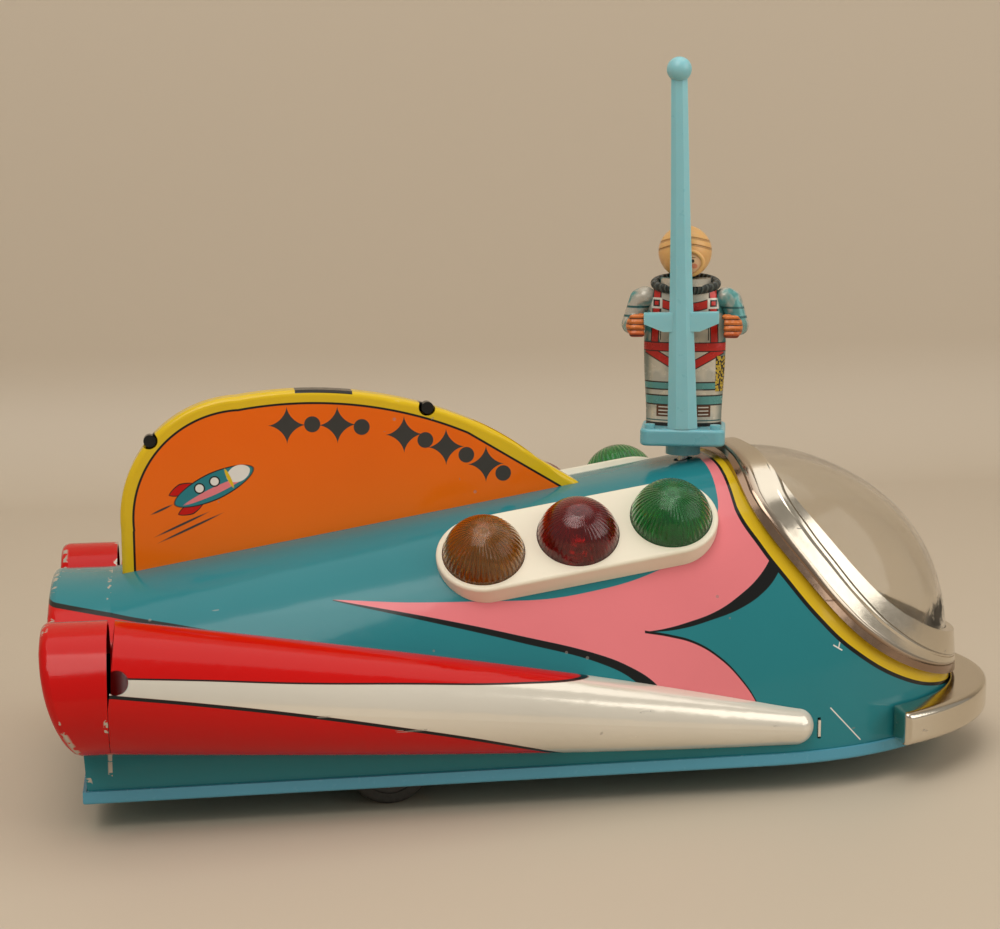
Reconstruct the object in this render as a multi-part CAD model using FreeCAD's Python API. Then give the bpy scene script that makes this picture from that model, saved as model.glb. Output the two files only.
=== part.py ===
"""Tin space rocket: a battery toy with a lithographed hull, two side pods, a fin, coloured lamps,
a clear canopy and an astronaut who turns on a stand.

Row frame, millimetres: +X towards the nose, +Y to the rocket's left, +Z up. The origin is on the ground,
under the middle of the overall box. Sheet parts are modelled a little thicker than real tinplate.
"""

import FreeCAD
import Part
import math
import os

V = FreeCAD.Vector

# ---- driving dimensions ----
tin = 0.6                    # wall of the pressed sheet parts
cap_wall = 0.75              # the rear cap is a little thicker
gap = 0.1                    # clearance between fixed pieces that lie against each other

seam_x = -105.0              # rear edge of the hull, where the rear cap begins
tail_x = -119.6              # rearmost point of the rear cap
hull_half_width = 43.0
hull_floor_z = 8.2           # lower edge of the hull, on the pan
nose_start_x = 50.0          # the plan is straight to here and an ellipse beyond
nose_length = 60.0
rear_section_power = 2.4     # how square the arch of the hull is at the seam
front_section_power = 3.0    # and from the nose's start onwards
ridge_z_at_seam = 51.2
ridge_slope = 0.169
canopy_x = 52.0              # where the canopy opening cuts the ridge
dome_centre_x = 58.0
dome_centre_z = 25.0
dome_length = 52.0
dome_height = 53.0

# side view of the canopy opening, as (x, z) from the ridge to the nose
opening_profile = ((48.2, 82.0), (48.6, 71.5), (58.6, 55.6), (75.0, 38.0), (92.0, 27.8), (112.0, 21.6))

pan_thickness = 0.8
pan_lip_z = 10.4
pad_z = 7.0                  # the flat pad under the pan
pan_margin = 0.9             # the lip stands this far outside the hull

pod_rear_radius = 15.0
pod_waist_radius = 13.1
pod_neck_radius = 8.8
pod_front_radius = 4.7
pod_rear = V(seam_x, 43.5, 34.6)
pod_front = V(56.0, 41.0, 16.6)

fin_half_thickness = 3.5
fin_tab_places = ((-95.3, 84.0), (-27.6, 90.6))

lens_radius = 9.8
lens_height = 8.6
lens_wall = 1.0
lens_pitch = 23.2
lamp_plate_centre = V(5.4, 27.6, 62.6)   # centre of the middle lens, on the left side
lamp_plate_height = 9.0                  # its skirt, before the hull trims it
lamp_plate_margin = 1.6
lamp_tilt = 38.0
lamp_climb = 9.2

spindle_x = 38.5             # the astronaut's shaft, which also drives the wheels
spindle_radius = 1.5
motor_x = -1.5
idler_x = 18.5
lower_plate_z = 44.6
upper_plate_z = 57.0
plate_thickness = 1.0

drive_wheel_radius = 11.0
rear_wheel_radius = 10.0
rear_axle_x = -41.0
axle_radius = 1.2
running = 0.06               # radial clearance of a shaft in its bearing

stand_heading = 17.0         # how far the astronaut is turned from facing straight out to the right
stand_bottom_z = 79.9
stand_top_z = 84.2
mast_top_z = 172.6


def save(name, shape):
    os.makedirs("parts", exist_ok=True)
    shape.exportStep(os.path.join("parts", name + ".step"))


def mirrored(shape):
    """The same piece on the other side of the rocket."""
    return shape.mirror(V(0, 0, 0), V(0, 1, 0))


def box(x0, x1, y0, y1, z0, z1):
    return Part.makeBox(x1 - x0, y1 - y0, z1 - z0, V(x0, y0, z0))


def upright(radius, z0, z1, x=0.0, y=0.0):
    return Part.makeCylinder(radius, z1 - z0, V(x, y, z0))


def crosswise(radius, y0, y1, x, z):
    """A cylinder along Y."""
    return Part.makeCylinder(radius, y1 - y0, V(x, y0, z), V(0, 1, 0))


def tube(outer, inner, z0, z1, x=0.0, y=0.0):
    return upright(outer, z0, z1, x, y).cut(upright(inner, z0 - 1, z1 + 1, x, y))


def side_face(points):
    """A face in the XZ plane from (x, z) pairs, in order round its edge."""
    corners = [V(x, 0, z) for x, z in points]
    return Part.Face(Part.makePolygon(corners + corners[:1]))


# ---- the hull's shape ----
def half_width(x, inset):
    if x <= nose_start_x:
        return hull_half_width - inset
    along = (x - nose_start_x) / (nose_length - inset)
    return (hull_half_width - inset) * math.sqrt(max(0.0, 1 - along * along))


def ridge(x, inset):
    if x <= canopy_x:
        return ridge_z_at_seam + ridge_slope * (x - seam_x) - inset
    along = max(0.0, x - dome_centre_x) / (dome_length - inset)
    return dome_centre_z + (dome_height - inset) * math.sqrt(max(0.0, 1 - along * along))


def arch(x, inset, floor_z):
    """The hull's cross-section at x: an arch over a straight floor."""
    width = half_width(x, inset)
    height = ridge(x, inset) - floor_z
    share = min(1.0, (x - seam_x) / (nose_start_x - seam_x))
    power = rear_section_power + share * (front_section_power - rear_section_power)
    steps = 16
    points = []
    for i in range(steps + 1):
        angle = math.pi * i / steps
        side = math.cos(angle)
        y = math.copysign(abs(side) ** (2 / power), side) * width
        z = floor_z + height * math.sin(angle)
        points.append(V(x, y, z))
    curve = Part.BSplineCurve()
    curve.interpolate(points)
    return Part.Wire([curve.toShape(), Part.makeLine(points[-1], points[0])])


def hull_body(inset, floor_z=hull_floor_z, rear_x=seam_x):
    """The hull and canopy as one solid, inset from the outer skin (or swollen, if negative)."""
    straight = Part.makeLoft([arch(x, inset, floor_z) for x in (rear_x, nose_start_x)], True, True)
    tip = nose_start_x + nose_length - inset
    back_from_tip = (52.0, 43.0, 34.0, 26.0, 19.0, 13.0, 8.0, 4.5, 2.0, 0.4)
    stations = [nose_start_x] + [tip - d for d in back_from_tip]
    nose = Part.makeLoft([arch(x, inset, floor_z) for x in stations], True, False)
    return straight.fuse(nose)


def below_opening(offset):
    """Everything behind and below the canopy opening, which offset moves towards the front and up."""
    shift = offset * 0.86
    curve = Part.BSplineCurve()
    curve.interpolate([V(x + shift, 0, z + shift) for x, z in opening_profile])
    start, end = curve.StartPoint, curve.EndPoint
    far = V(end.x + 60, 0, end.z - 18)
    top = V(start.x, 0, 150)
    low_front, low_rear, high_rear = V(far.x, 0, -40), V(-150, 0, -40), V(-150, 0, 150)
    edges = [Part.makeLine(top, start), curve.toShape(), Part.makeLine(end, far),
             Part.makeLine(far, low_front), Part.makeLine(low_front, low_rear),
             Part.makeLine(low_rear, high_rear), Part.makeLine(high_rear, top)]
    face = Part.Face(Part.Wire(edges))
    face.translate(V(0, -80, 0))
    return face.extrude(V(0, 160, 0))


def pod_solid(inset):
    """A side pod on the left, as a solid of revolution: a slightly full taper with a round front end."""
    axis = pod_front - pod_rear
    length = axis.Length
    taper = Part.BSplineCurve()
    taper.interpolate([V(0, pod_rear_radius - inset, 0), V(length * 0.26, pod_waist_radius - inset, 0),
                       V(length * 0.7, pod_neck_radius - inset, 0), V(length, pod_front_radius - inset, 0)])
    end_radius = pod_front_radius - inset
    bend = end_radius * math.sqrt(0.5)
    cap = Part.Arc(V(length, end_radius, 0), V(length + bend, bend, 0), V(length + end_radius, 0, 0))
    edges = [taper.toShape(), cap.toShape(), Part.makeLine(V(length + end_radius, 0, 0), V(0, 0, 0)),
             Part.makeLine(V(0, 0, 0), V(0, pod_rear_radius - inset, 0))]
    pod = Part.Face(Part.Wire(edges)).revolve(V(0, 0, 0), V(1, 0, 0), 360)
    pod.Placement = FreeCAD.Placement(pod_rear, FreeCAD.Rotation(V(1, 0, 0), axis))
    return pod


def lamp_placement():
    """From the lamp plate's own frame (X along it, Z out of it) to its place on the left side."""
    tilt = FreeCAD.Rotation(V(1, 0, 0), -lamp_tilt)
    climb = FreeCAD.Rotation(V(0, 1, 0), -lamp_climb)
    return FreeCAD.Placement(lamp_plate_centre, climb.multiply(tilt))


def place_lamp_piece(shape):
    shape = shape.copy()
    shape.Placement = lamp_placement().multiply(shape.Placement)
    return shape


def stadium(radius, length, z0, z1):
    middle = box(-length / 2, length / 2, -radius, radius, z0, z1)
    ends = [upright(radius, z0, z1, x) for x in (-length / 2, length / 2)]
    return middle.multiFuse(ends).removeSplitter()


def fin_outline(bottom_drop):
    """The fin's side view: upright at the rear, round over the top, long fall to the front."""
    rear, front = V(-102.6, 0, 62), V(12.6, 0, 69.6)
    crown, brow = V(-74.0, 0, 94.2), V(-16.0, 0, 86.9)
    rear_foot = V(rear.x, 0, ridge(rear.x, bottom_drop))
    front_foot = V(front.x, 0, ridge(front.x, bottom_drop))
    return Part.Wire([Part.Arc(rear, V(-95.7, 0, 83.6), crown).toShape(),
                      Part.Arc(crown, V(-46.0, 0, 94.9), brow).toShape(), Part.makeLine(brow, front),
                      Part.makeLine(front, front_foot), Part.makeLine(front_foot, rear_foot),
                      Part.makeLine(rear_foot, rear)])


# ---- shell pieces ----
def hull_shell():
    skin = hull_body(0).cut(hull_body(tin, hull_floor_z, seam_x - 5))
    skin = skin.common(below_opening(0))
    fin_slot = Part.Face(fin_outline(4)).extrude(V(0, 2 * (fin_half_thickness + gap), 0))
    fin_slot.translate(V(0, -fin_half_thickness - gap, 0))
    light_holes = [upright(lens_radius + 0.8, -14, 6, x) for x in (-lens_pitch, 0, lens_pitch)]
    light_holes = [place_lamp_piece(h) for h in light_holes]
    spindle_hole = upright(2.4, 60, 90, spindle_x)
    # a slot at the front end of each pod takes the pod's folded tab
    tab_slot = box(61.6, 62.5, 38, 45, 13.2, 18.4)
    cutters = [fin_slot, spindle_hole, tab_slot, mirrored(tab_slot)]
    return skin.cut(cutters + light_holes + [mirrored(h) for h in light_holes])


def tail_region(inset):
    """The side view of the rear cap, as a block that trims it."""
    low, knee = V(-109.9 + inset, 0, 0), V(-111.3 + inset, 0, 18.6)
    belly, shoulder = V(-117.0 + inset, 0, 31), V(tail_x + inset, 0, 45)
    top = V(tail_x + inset, 0, 60)
    edges = [Part.makeLine(V(-60, 0, 0), low), Part.makeLine(low, knee),
             Part.Arc(knee, belly, shoulder).toShape(), Part.makeLine(shoulder, top),
             Part.makeLine(top, V(-60, 0, 60)), Part.makeLine(V(-60, 0, 60), V(-60, 0, 0))]
    face = Part.Face(Part.Wire(edges))
    face.translate(V(0, -70, 0))
    return face.extrude(V(0, 140, 0))


def trimmed_lobe(lobe, inset, rounding):
    """One lobe of the rear cap, trimmed to the tail and rounded along the edge that leaves."""
    lobe = lobe.common(tail_region(inset))
    rear_edges = [e for e in lobe.Edges if e.BoundBox.XMax < seam_x - 3.0 and e.BoundBox.ZMax > 24.0
                  and e.BoundBox.YLength > 8.0]
    return lobe.makeFillet(rounding, rear_edges) if rounding else lobe


def rear_cap_solid(inset, front_x, floor_z, rounding):
    """Three lobes: the hull's own section and the two pods', carried back and trimmed to the tail."""
    section = Part.Face(arch(seam_x, inset, floor_z))
    section.translate(V(front_x - seam_x, 0, 0))
    lobes = [trimmed_lobe(section.extrude(V(tail_x - 5 - front_x, 0, 0)), inset, rounding)]
    for side in (-1, 1):
        start = V(front_x, side * pod_rear.y, pod_rear.z)
        bar = Part.makeCylinder(pod_rear_radius - inset, front_x - tail_x + 5, start, V(-1, 0, 0))
        lobes.append(trimmed_lobe(bar, inset, rounding))
    return lobes[0].multiFuse(lobes[1:])


def rear_cap():
    outside = rear_cap_solid(0, seam_x, hull_floor_z, 2.0)
    return outside.cut(rear_cap_solid(cap_wall, seam_x + 2, hull_floor_z - 5, 0))


def left_pod():
    shell = pod_solid(0).cut(pod_solid(tin))
    # the round hole in the pod's rear edge
    notch = Part.makeCylinder(2.6, 30, V(seam_x + 2.0, 45, pod_rear.z + 4.7), V(0, 1, 0))
    shell = shell.cut([hull_body(-gap, hull_floor_z, seam_x - 5), box(-140, seam_x + gap, 0, 80, 0, 80), notch])
    tab = box(61.7, 62.3, 38.9, 42.4, 13.8, 17.8).cut(hull_body(-0.02, hull_floor_z))
    pieces = [s for s in shell.Solids if s.Volume > 100]
    return pieces[0], tab


def base_pan():
    def plan(margin, z0, z1):
        width, length = hull_half_width + margin, nose_length + margin
        rear = -110.8 - margin
        nose = Part.Ellipse(V(nose_start_x, 0, z0), length, width).toShape()
        nose = Part.Face(Part.Wire(nose)).extrude(V(0, 0, z1 - z0))
        return nose.fuse(box(rear, nose_start_x, -width, width, z0, z1)).removeSplitter()

    floor_bottom = hull_floor_z - pan_thickness
    tray = plan(pan_margin, floor_bottom, pan_lip_z)
    lower_edges = [e for e in tray.Edges if e.BoundBox.ZMax < floor_bottom + 0.1]
    tray = tray.makeFillet(0.7, lower_edges)
    tray = tray.cut(plan(gap, hull_floor_z, pan_lip_z + 1))
    holes = [upright(19.6, 0, 20, spindle_x), box(-103, -46.6, -27.8, 27.8, 0, 20), box(-15, -3, -2.2, 2.2, 0, 20),
             box(-106.2, -102, -5.8, 5.8, 0, 20)]
    holes += [box(rear_axle_x - 11, rear_axle_x + 11, y, y + 6.8, 0, 20) for y in (-35.2, 28.4)]
    tray = tray.cut(holes)
    knuckles = [crosswise(1.2, y, y + 8, -104.6, 6.3).cut(crosswise(0.66, y - 1, y + 9, -104.6, 6.3))
                for y in (-14, 6)]
    webs = [box(-105.8, -103.9, y, y + 8, 6.3, hull_floor_z).cut(crosswise(1.0, y - 1, y + 9, -104.6, 6.3))
            for y in (-14, 6)]
    # a flat pressed pad between the two axles, for standing the rocket on a block
    pad = box(-44, -22, -20, 20, pad_z, floor_bottom + 0.2)
    return tray.multiFuse(knuckles + webs + [pad]).removeSplitter()


def fin_half():
    """The left half: a shallow pressed tray with its open side on the rocket's middle plane."""
    outline = Part.Face(fin_outline(2.5))
    outer = outline.extrude(V(0, fin_half_thickness, 0))
    rim = [e for e in outer.Edges if e.BoundBox.YMin > fin_half_thickness - 0.01 and e.BoundBox.ZMax > 80]
    outer = outer.makeFillet(1.4, rim)
    hollow = Part.Face(fin_outline(2.5)).makeOffset2D(-tin).extrude(V(0, fin_half_thickness - tin, 0))
    return outer.cut(hollow)


def fin_notches():
    """Half-round holes in the rim where one half's tabs fold over the other."""
    return [crosswise(2.1, -4, 0.1, x, z) for x, z in fin_tab_places]


def fin_tabs():
    """The folded tabs that fill those holes."""
    return [crosswise(1.5, -2.6, 0, x + 0.2, z - 0.2) for x, z in fin_tab_places]


def lamp_plate():
    radius = lens_radius + lamp_plate_margin
    length = 2 * lens_pitch
    plate = stadium(radius, length, -lamp_plate_height, 0)
    rim = [e for e in plate.Edges if e.BoundBox.ZMin > -0.01]
    plate = plate.makeFillet(0.8, rim)
    plate = plate.cut(stadium(radius - 0.7, length, -lamp_plate_height - 1, -0.7))
    plate = plate.cut([upright(lens_radius + 0.15, -5, 5, x) for x in (-lens_pitch, 0, lens_pitch)])
    placed = place_lamp_piece(plate).cut(hull_body(-0.05, hull_floor_z))
    return max(placed.Solids, key=lambda s: s.Volume)


def lens(x):
    """A ribless dome, part of a sphere, with a thin flange that sits behind the lamp plate."""
    sphere_radius = (lens_radius ** 2 + lens_height ** 2) / (2 * lens_height)
    centre = V(0, 0, lens_height - sphere_radius)
    foot = -0.8
    slot = lens_radius - lens_wall - 0.02
    dome = Part.makeSphere(sphere_radius, centre).common(upright(20, 0, 20))
    dome = dome.cut(Part.makeSphere(sphere_radius - lens_wall, centre))
    rim = tube(lens_radius, slot, foot, 0)
    flange = tube(lens_radius + 0.6, slot, foot - 0.6, foot)
    whole = dome.multiFuse([rim, flange]).removeSplitter()
    whole.translate(V(x, 0, 0))
    return place_lamp_piece(whole)


def canopy_ring():
    proud, width, lap = -1.6, 7.6, -1.6
    strip = below_opening(width).cut(below_opening(lap))
    over = hull_body(proud).cut(hull_body(-0.05)).common(strip)
    front_strip = below_opening(width).cut(below_opening(gap))
    under = hull_body(-0.2).cut(hull_body(0.35)).common(front_strip)
    ring = over.fuse(under).removeSplitter()
    return ring.cut(box(-200, 200, -80, 80, -50, hull_floor_z + 6))


def canopy_dome():
    shell = hull_body(0.45).cut(hull_body(1.55))
    return shell.cut([below_opening(1.5), box(-200, 200, -80, 80, -50, hull_floor_z + 4)])


def cockpit_deck():
    sheet = below_opening(-0.6).cut(below_opening(-1.2))
    return sheet.common(hull_body(tin + gap))


def bumper():
    reach, tall, wall, low = 9.7, 8.2, 0.7, 10.6

    def band(outer_reach, inner_reach, z0, z1, end_x):
        outer = Part.Ellipse(V(nose_start_x, 0, z0), nose_length + outer_reach, hull_half_width + outer_reach - 1.6)
        inner = Part.Ellipse(V(nose_start_x, 0, z0), nose_length + inner_reach, hull_half_width + inner_reach)
        ring = Part.Face(Part.Wire(outer.toShape())).cut(Part.Face(Part.Wire(inner.toShape())))
        return ring.extrude(V(0, 0, z1 - z0)).common(box(end_x, 200, -80, 80, z0 - 1, z1 + 1))

    solid = band(reach, 0.15, low, low + tall, 83.0)
    outer_edges = [e for e in solid.Edges if e.BoundBox.XMax > nose_start_x + nose_length + reach - 0.5
                   and e.Length > 40]
    end_edges = [e for e in solid.Edges if abs(e.BoundBox.XMax - e.BoundBox.XMin) < 0.01
                 and abs(e.BoundBox.ZLength - tall) < 0.01 and abs(e.BoundBox.YMax) + abs(e.BoundBox.YMin) > 78]
    solid = solid.makeFillet(1.5, outer_edges + end_edges)
    hollow = band(reach - wall, -1.0, low + wall, low + tall - wall, 83.0 + wall)
    return solid.cut(hollow)


# ---- mechanism ----
def toothed(teeth, module, phase, z0, z1, x, y=0.0):
    """A spur gear about a vertical axis, with plain tapered teeth and easy backlash."""
    pitch = module * teeth / 2
    tip, root = pitch + 0.8 * module, pitch - 1.15 * module
    step = 2 * math.pi / teeth
    points = []
    for i in range(teeth):
        middle = phase + i * step
        for share, radius in ((-0.24, root), (-0.11, tip), (0.11, tip), (0.24, root)):
            angle = middle + share * step
            points.append(V(x + radius * math.cos(angle), y + radius * math.sin(angle), z0))
    wheel = Part.Face(Part.makePolygon(points + points[:1])).extrude(V(0, 0, z1 - z0))
    return wheel


def crown_gear(teeth, module, y_face, y_tip):
    """A face gear on the drive axle: its teeth point at the vertical pinion."""
    pitch = module * teeth / 2
    disc = crosswise(pitch + 1.1, y_face, y_face + 1.4, spindle_x, drive_wheel_radius)
    step = 360.0 / teeth
    tooth = box(pitch - 1.3, pitch + 1.0, y_tip, y_face + 0.1, -0.26, 0.26)
    pieces = [disc, crosswise(3.0, y_face, y_face + 2.0, spindle_x, drive_wheel_radius)]
    for i in range(teeth):
        one = tooth.copy()
        one.rotate(V(0, 0, 0), V(0, 1, 0), 90 + (i + 0.5) * step)
        one.translate(V(spindle_x, 0, drive_wheel_radius))
        pieces.append(one)
    gear = pieces[0].multiFuse(pieces[1:]).removeSplitter()
    return gear.cut(crosswise(axle_radius, -20, 20, spindle_x, drive_wheel_radius))


def wheel_pair(radius, x, inner_y, width, axle_z):
    """Rims and tyres of two wheels on one axle, as two groups of two solids."""
    rims, tyres = [], []
    for y in (inner_y, -inner_y - width):
        blank = crosswise(radius, y, y + width, x, axle_z)
        blank = blank.makeFillet(1.4, [e for e in blank.Edges if e.Curve.TypeId == "Part::GeomCircle"])
        core = crosswise(radius - 2.8, y - 1, y + width + 1, x, axle_z)
        tyres.append(blank.cut(core))
        rim = crosswise(radius - 2.8, y + 0.4, y + width - 0.4, x, axle_z)
        outer_y = y + width - 0.4 if y > 0 else y + 0.4
        dish = crosswise(radius - 4.2, outer_y - 0.9, outer_y + 0.9, x, axle_z)
        hub = crosswise(2.4, min(y, outer_y - 1), max(y + width, outer_y + 1), x, axle_z)
        rim = rim.cut(dish).fuse(hub).cut(crosswise(axle_radius, -60, 60, x, axle_z))
        rims.append(rim)
    return Part.makeCompound(rims), Part.makeCompound(tyres)


def gear_frame():
    lower = box(-13, 53, -16.5, 16.5, lower_plate_z, lower_plate_z + plate_thickness)
    lower = lower.cut([upright(spindle_radius + running, 40, 50, spindle_x), upright(1.8, 40, 50, motor_x),
                       upright(1.0 + running, 40, 50, idler_x)])
    upper = box(-13, 53, -16.5, 16.5, upper_plate_z, upper_plate_z + plate_thickness)
    upper = upper.cut([upright(spindle_radius + running, 50, 70, spindle_x),
                       upright(1.0 + running, 50, 70, idler_x)])
    foot, head = lower_plate_z + plate_thickness, upper_plate_z
    posts = [upright(1.5, foot, head, x, y) for x in (-9, 50) for y in (-14, 14)]
    legs = []
    for leg_x, foot_x, shelf_x in ((-17.8, -24.0, -12.8), (58.0, 64.6, 51.5)):
        leg = box(leg_x, leg_x + 1.2, -2.5, 2.5, hull_floor_z, lower_plate_z)
        ends = sorted((leg_x, leg_x + 1.2, shelf_x))
        shelf = box(ends[0], ends[2], -2.5, 2.5, lower_plate_z - 1.2, lower_plate_z)
        ends = sorted((leg_x, leg_x + 1.2, foot_x))
        foot_plate = box(ends[0], ends[2], -2.5, 2.5, hull_floor_z, hull_floor_z + 1.0)
        legs.append(leg.multiFuse([shelf, foot_plate]).removeSplitter())
    return lower, upper, Part.makeCompound(posts), Part.makeCompound(legs)


def turret():
    """The swivelling bracket that carries the drive wheels."""
    top = upright(9.5, 24.0, 25.0, spindle_x)
    arms = [box(spindle_x - 4, spindle_x + 4, y, y + 0.9, 8.5, 24.5) for y in (-7.9, 7.4)]
    lugs = [box(spindle_x - 4, spindle_x + 4, -7.9, 8.3, 24.0, 25.0)]
    sleeve = upright(4.2, 25.0, 41.0, spindle_x)
    bracket = top.multiFuse(arms + lugs + [sleeve]).removeSplitter()
    bore = upright(3.0 + running, 20, 45, spindle_x)
    axle_bore = crosswise(axle_radius + running, -12, 12, spindle_x, drive_wheel_radius)
    return bracket.cut([bore, axle_bore])


def battery_box():
    outer = box(-102.4, -47.2, -27.5, 27.5, hull_floor_z + 0.1, 38.2)
    return outer.cut(box(-101.8, -47.8, -26.9, 26.9, 0, 37.6))


def cell(y):
    body = Part.makeCylinder(13.1, 48.5, V(-98.6, y, 23.6), V(1, 0, 0))
    body = body.makeFillet(0.8, [e for e in body.Edges if e.Curve.TypeId == "Part::GeomCircle"])
    tip_x = -50.1 if y > 0 else -98.6
    tip = Part.makeCylinder(3.0, 1.5, V(tip_x, y, 23.6), V(1 if y > 0 else -1, 0, 0))
    return body.fuse(tip).removeSplitter()


def battery_door():
    door = box(-102.6, -47.0, -27.4, 27.4, hull_floor_z - pan_thickness, hull_floor_z)
    grip = box(-52.5, -50.5, -8, 8, hull_floor_z - pan_thickness - 1.2, hull_floor_z - pan_thickness)
    knuckle = crosswise(1.2, -5.6, 5.6, -104.6, 6.3)
    web = box(-105.2, -103.4, -5.6, 5.6, 6.3, 8.1).fuse(box(-103.6, -102.0, -5.6, 5.6, 7.4, 8.1))
    bore = crosswise(0.6 + running, -7, 7, -104.6, 6.3)
    return door.multiFuse([grip, knuckle, web]).removeSplitter().cut(bore)


def bulb(side):
    """A small lamp under the middle lens, with its screw shell."""
    glass = Part.makeSphere(3.4, V(0, 0, -5.5))
    screw = upright(2.6, -14.0, -8.0)
    whole = glass.fuse(screw).removeSplitter()
    placed = place_lamp_piece(whole)
    return placed if side > 0 else mirrored(placed)


def bulb_socket(side):
    cup = tube(3.3, 2.65, -15.5, -9.5).fuse(upright(3.3, -16.2, -15.0))
    strap = box(-3.3, 3.3, 2.7, 3.5, -16.2, -9.5)
    placed = place_lamp_piece(cup.fuse(strap).removeSplitter())
    return placed if side > 0 else mirrored(placed)


# ---- the astronaut and the stand, built facing -Y about the spindle, then turned ----
def turned(shape):
    shape = shape.copy()
    shape.rotate(V(0, 0, 0), V(0, 0, 1), -stand_heading)
    shape.translate(V(spindle_x, 0, 0))
    return shape


def stand():
    plate = box(-10.6, 10.6, -9, 9, stand_bottom_z, stand_top_z)
    corners = [e for e in plate.Edges if abs(e.BoundBox.ZLength - (stand_top_z - stand_bottom_z)) < 0.01]
    plate = plate.makeFillet(2.4, corners)
    rims = [e for e in plate.Edges if e.BoundBox.ZLength < 0.01]
    plate = plate.makeFillet(0.8, rims)
    boss = upright(4.4, 76.9, stand_bottom_z + 0.5)
    pegs = [upright(1.3, stand_top_z - 0.2, stand_top_z + 1.1, x, -7.0) for x in (-8.2, 8.2)]
    whole = plate.multiFuse([boss] + pegs).removeSplitter()
    return turned(whole.cut(upright(spindle_radius, 70, 82)))


def mast():
    """A tapering eight-sided mast with a ball on top and a cross-piece to hold."""
    lean = 1.4
    base = V(0, -6.5, stand_top_z)
    rings = []
    for z, radius in ((0, 4.0), (32, 3.1), (57, 2.5), (86.5, 2.15)):
        corners = [V(radius * math.cos(math.radians(a + 22.5)), radius * 0.62 * math.sin(math.radians(a + 22.5)), z)
                   for a in range(0, 360, 45)]
        rings.append(Part.makePolygon(corners + corners[:1]))
    shaft = Part.makeLoft(rings, True, True)
    ball = Part.makeSphere(3.05, V(0, 0, mast_top_z - stand_top_z))
    bar = side_face([(-9.3, 29.2), (9.3, 29.2), (9.3, 26.4), (4.5, 24.4), (-4.5, 24.4), (-9.3, 26.4)])
    bar = bar.extrude(V(0, 2.6, 0))
    bar.translate(V(0, -1.3, 0))
    whole = shaft.multiFuse([ball, bar]).removeSplitter()
    whole.rotate(V(0, 0, 0), V(0, 1, 0), -lean)
    whole.translate(base)
    return turned(whole.cut(box(-30, 30, -30, 30, 0, stand_top_z)))


def figure_body():
    """The astronaut's pressed body as a solid, from boots to collar."""
    sections = ((84.2, 9.6, 4.6), (90, 9.7, 4.3), (99, 10.2, 4.6), (107, 10.3, 4.4), (115, 9.4, 4.6), (119.6, 7.4, 4.3))
    wires = []
    for z, wide, deep in sections:
        curve = Part.Ellipse(V(0, 1.2, z), wide, deep).toShape()
        wires.append(Part.Wire(curve))
    body = Part.makeLoft(wires, True, False)
    collar = upright(6.4, 119.6, 121.4, 0, 1.2).cut(upright(3.4, 118, 123, 0, 1.2))
    return body, collar


def figure_arm(side):
    """A bent sleeve from the shoulder to the hand on the cross-piece."""
    shoulder, elbow, hand = V(side * 11.9, 1.2, 116), V(side * 13.4, 1.0, 108.5), V(side * 12.4, -5.6, 109.5)
    pieces = []
    for a, b, radius in ((shoulder, elbow, 2.3), (elbow, hand, 2.2)):
        pieces.append(Part.makeCylinder(radius, (b - a).Length, a, b - a))
    for point, radius in ((shoulder, 2.6), (elbow, 2.4), (hand, 2.9)):
        pieces.append(Part.makeSphere(radius, point))
    arm = pieces[0].multiFuse(pieces[1:]).removeSplitter()
    body, _ = figure_body()
    return arm.cut(body)


def figure_head():
    helmet = Part.makeSphere(6.6, V(0, 2.2, 128.2))
    neck = upright(3.3, 119.7, 124, 0, 1.2)
    return helmet.fuse(neck).removeSplitter()


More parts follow.
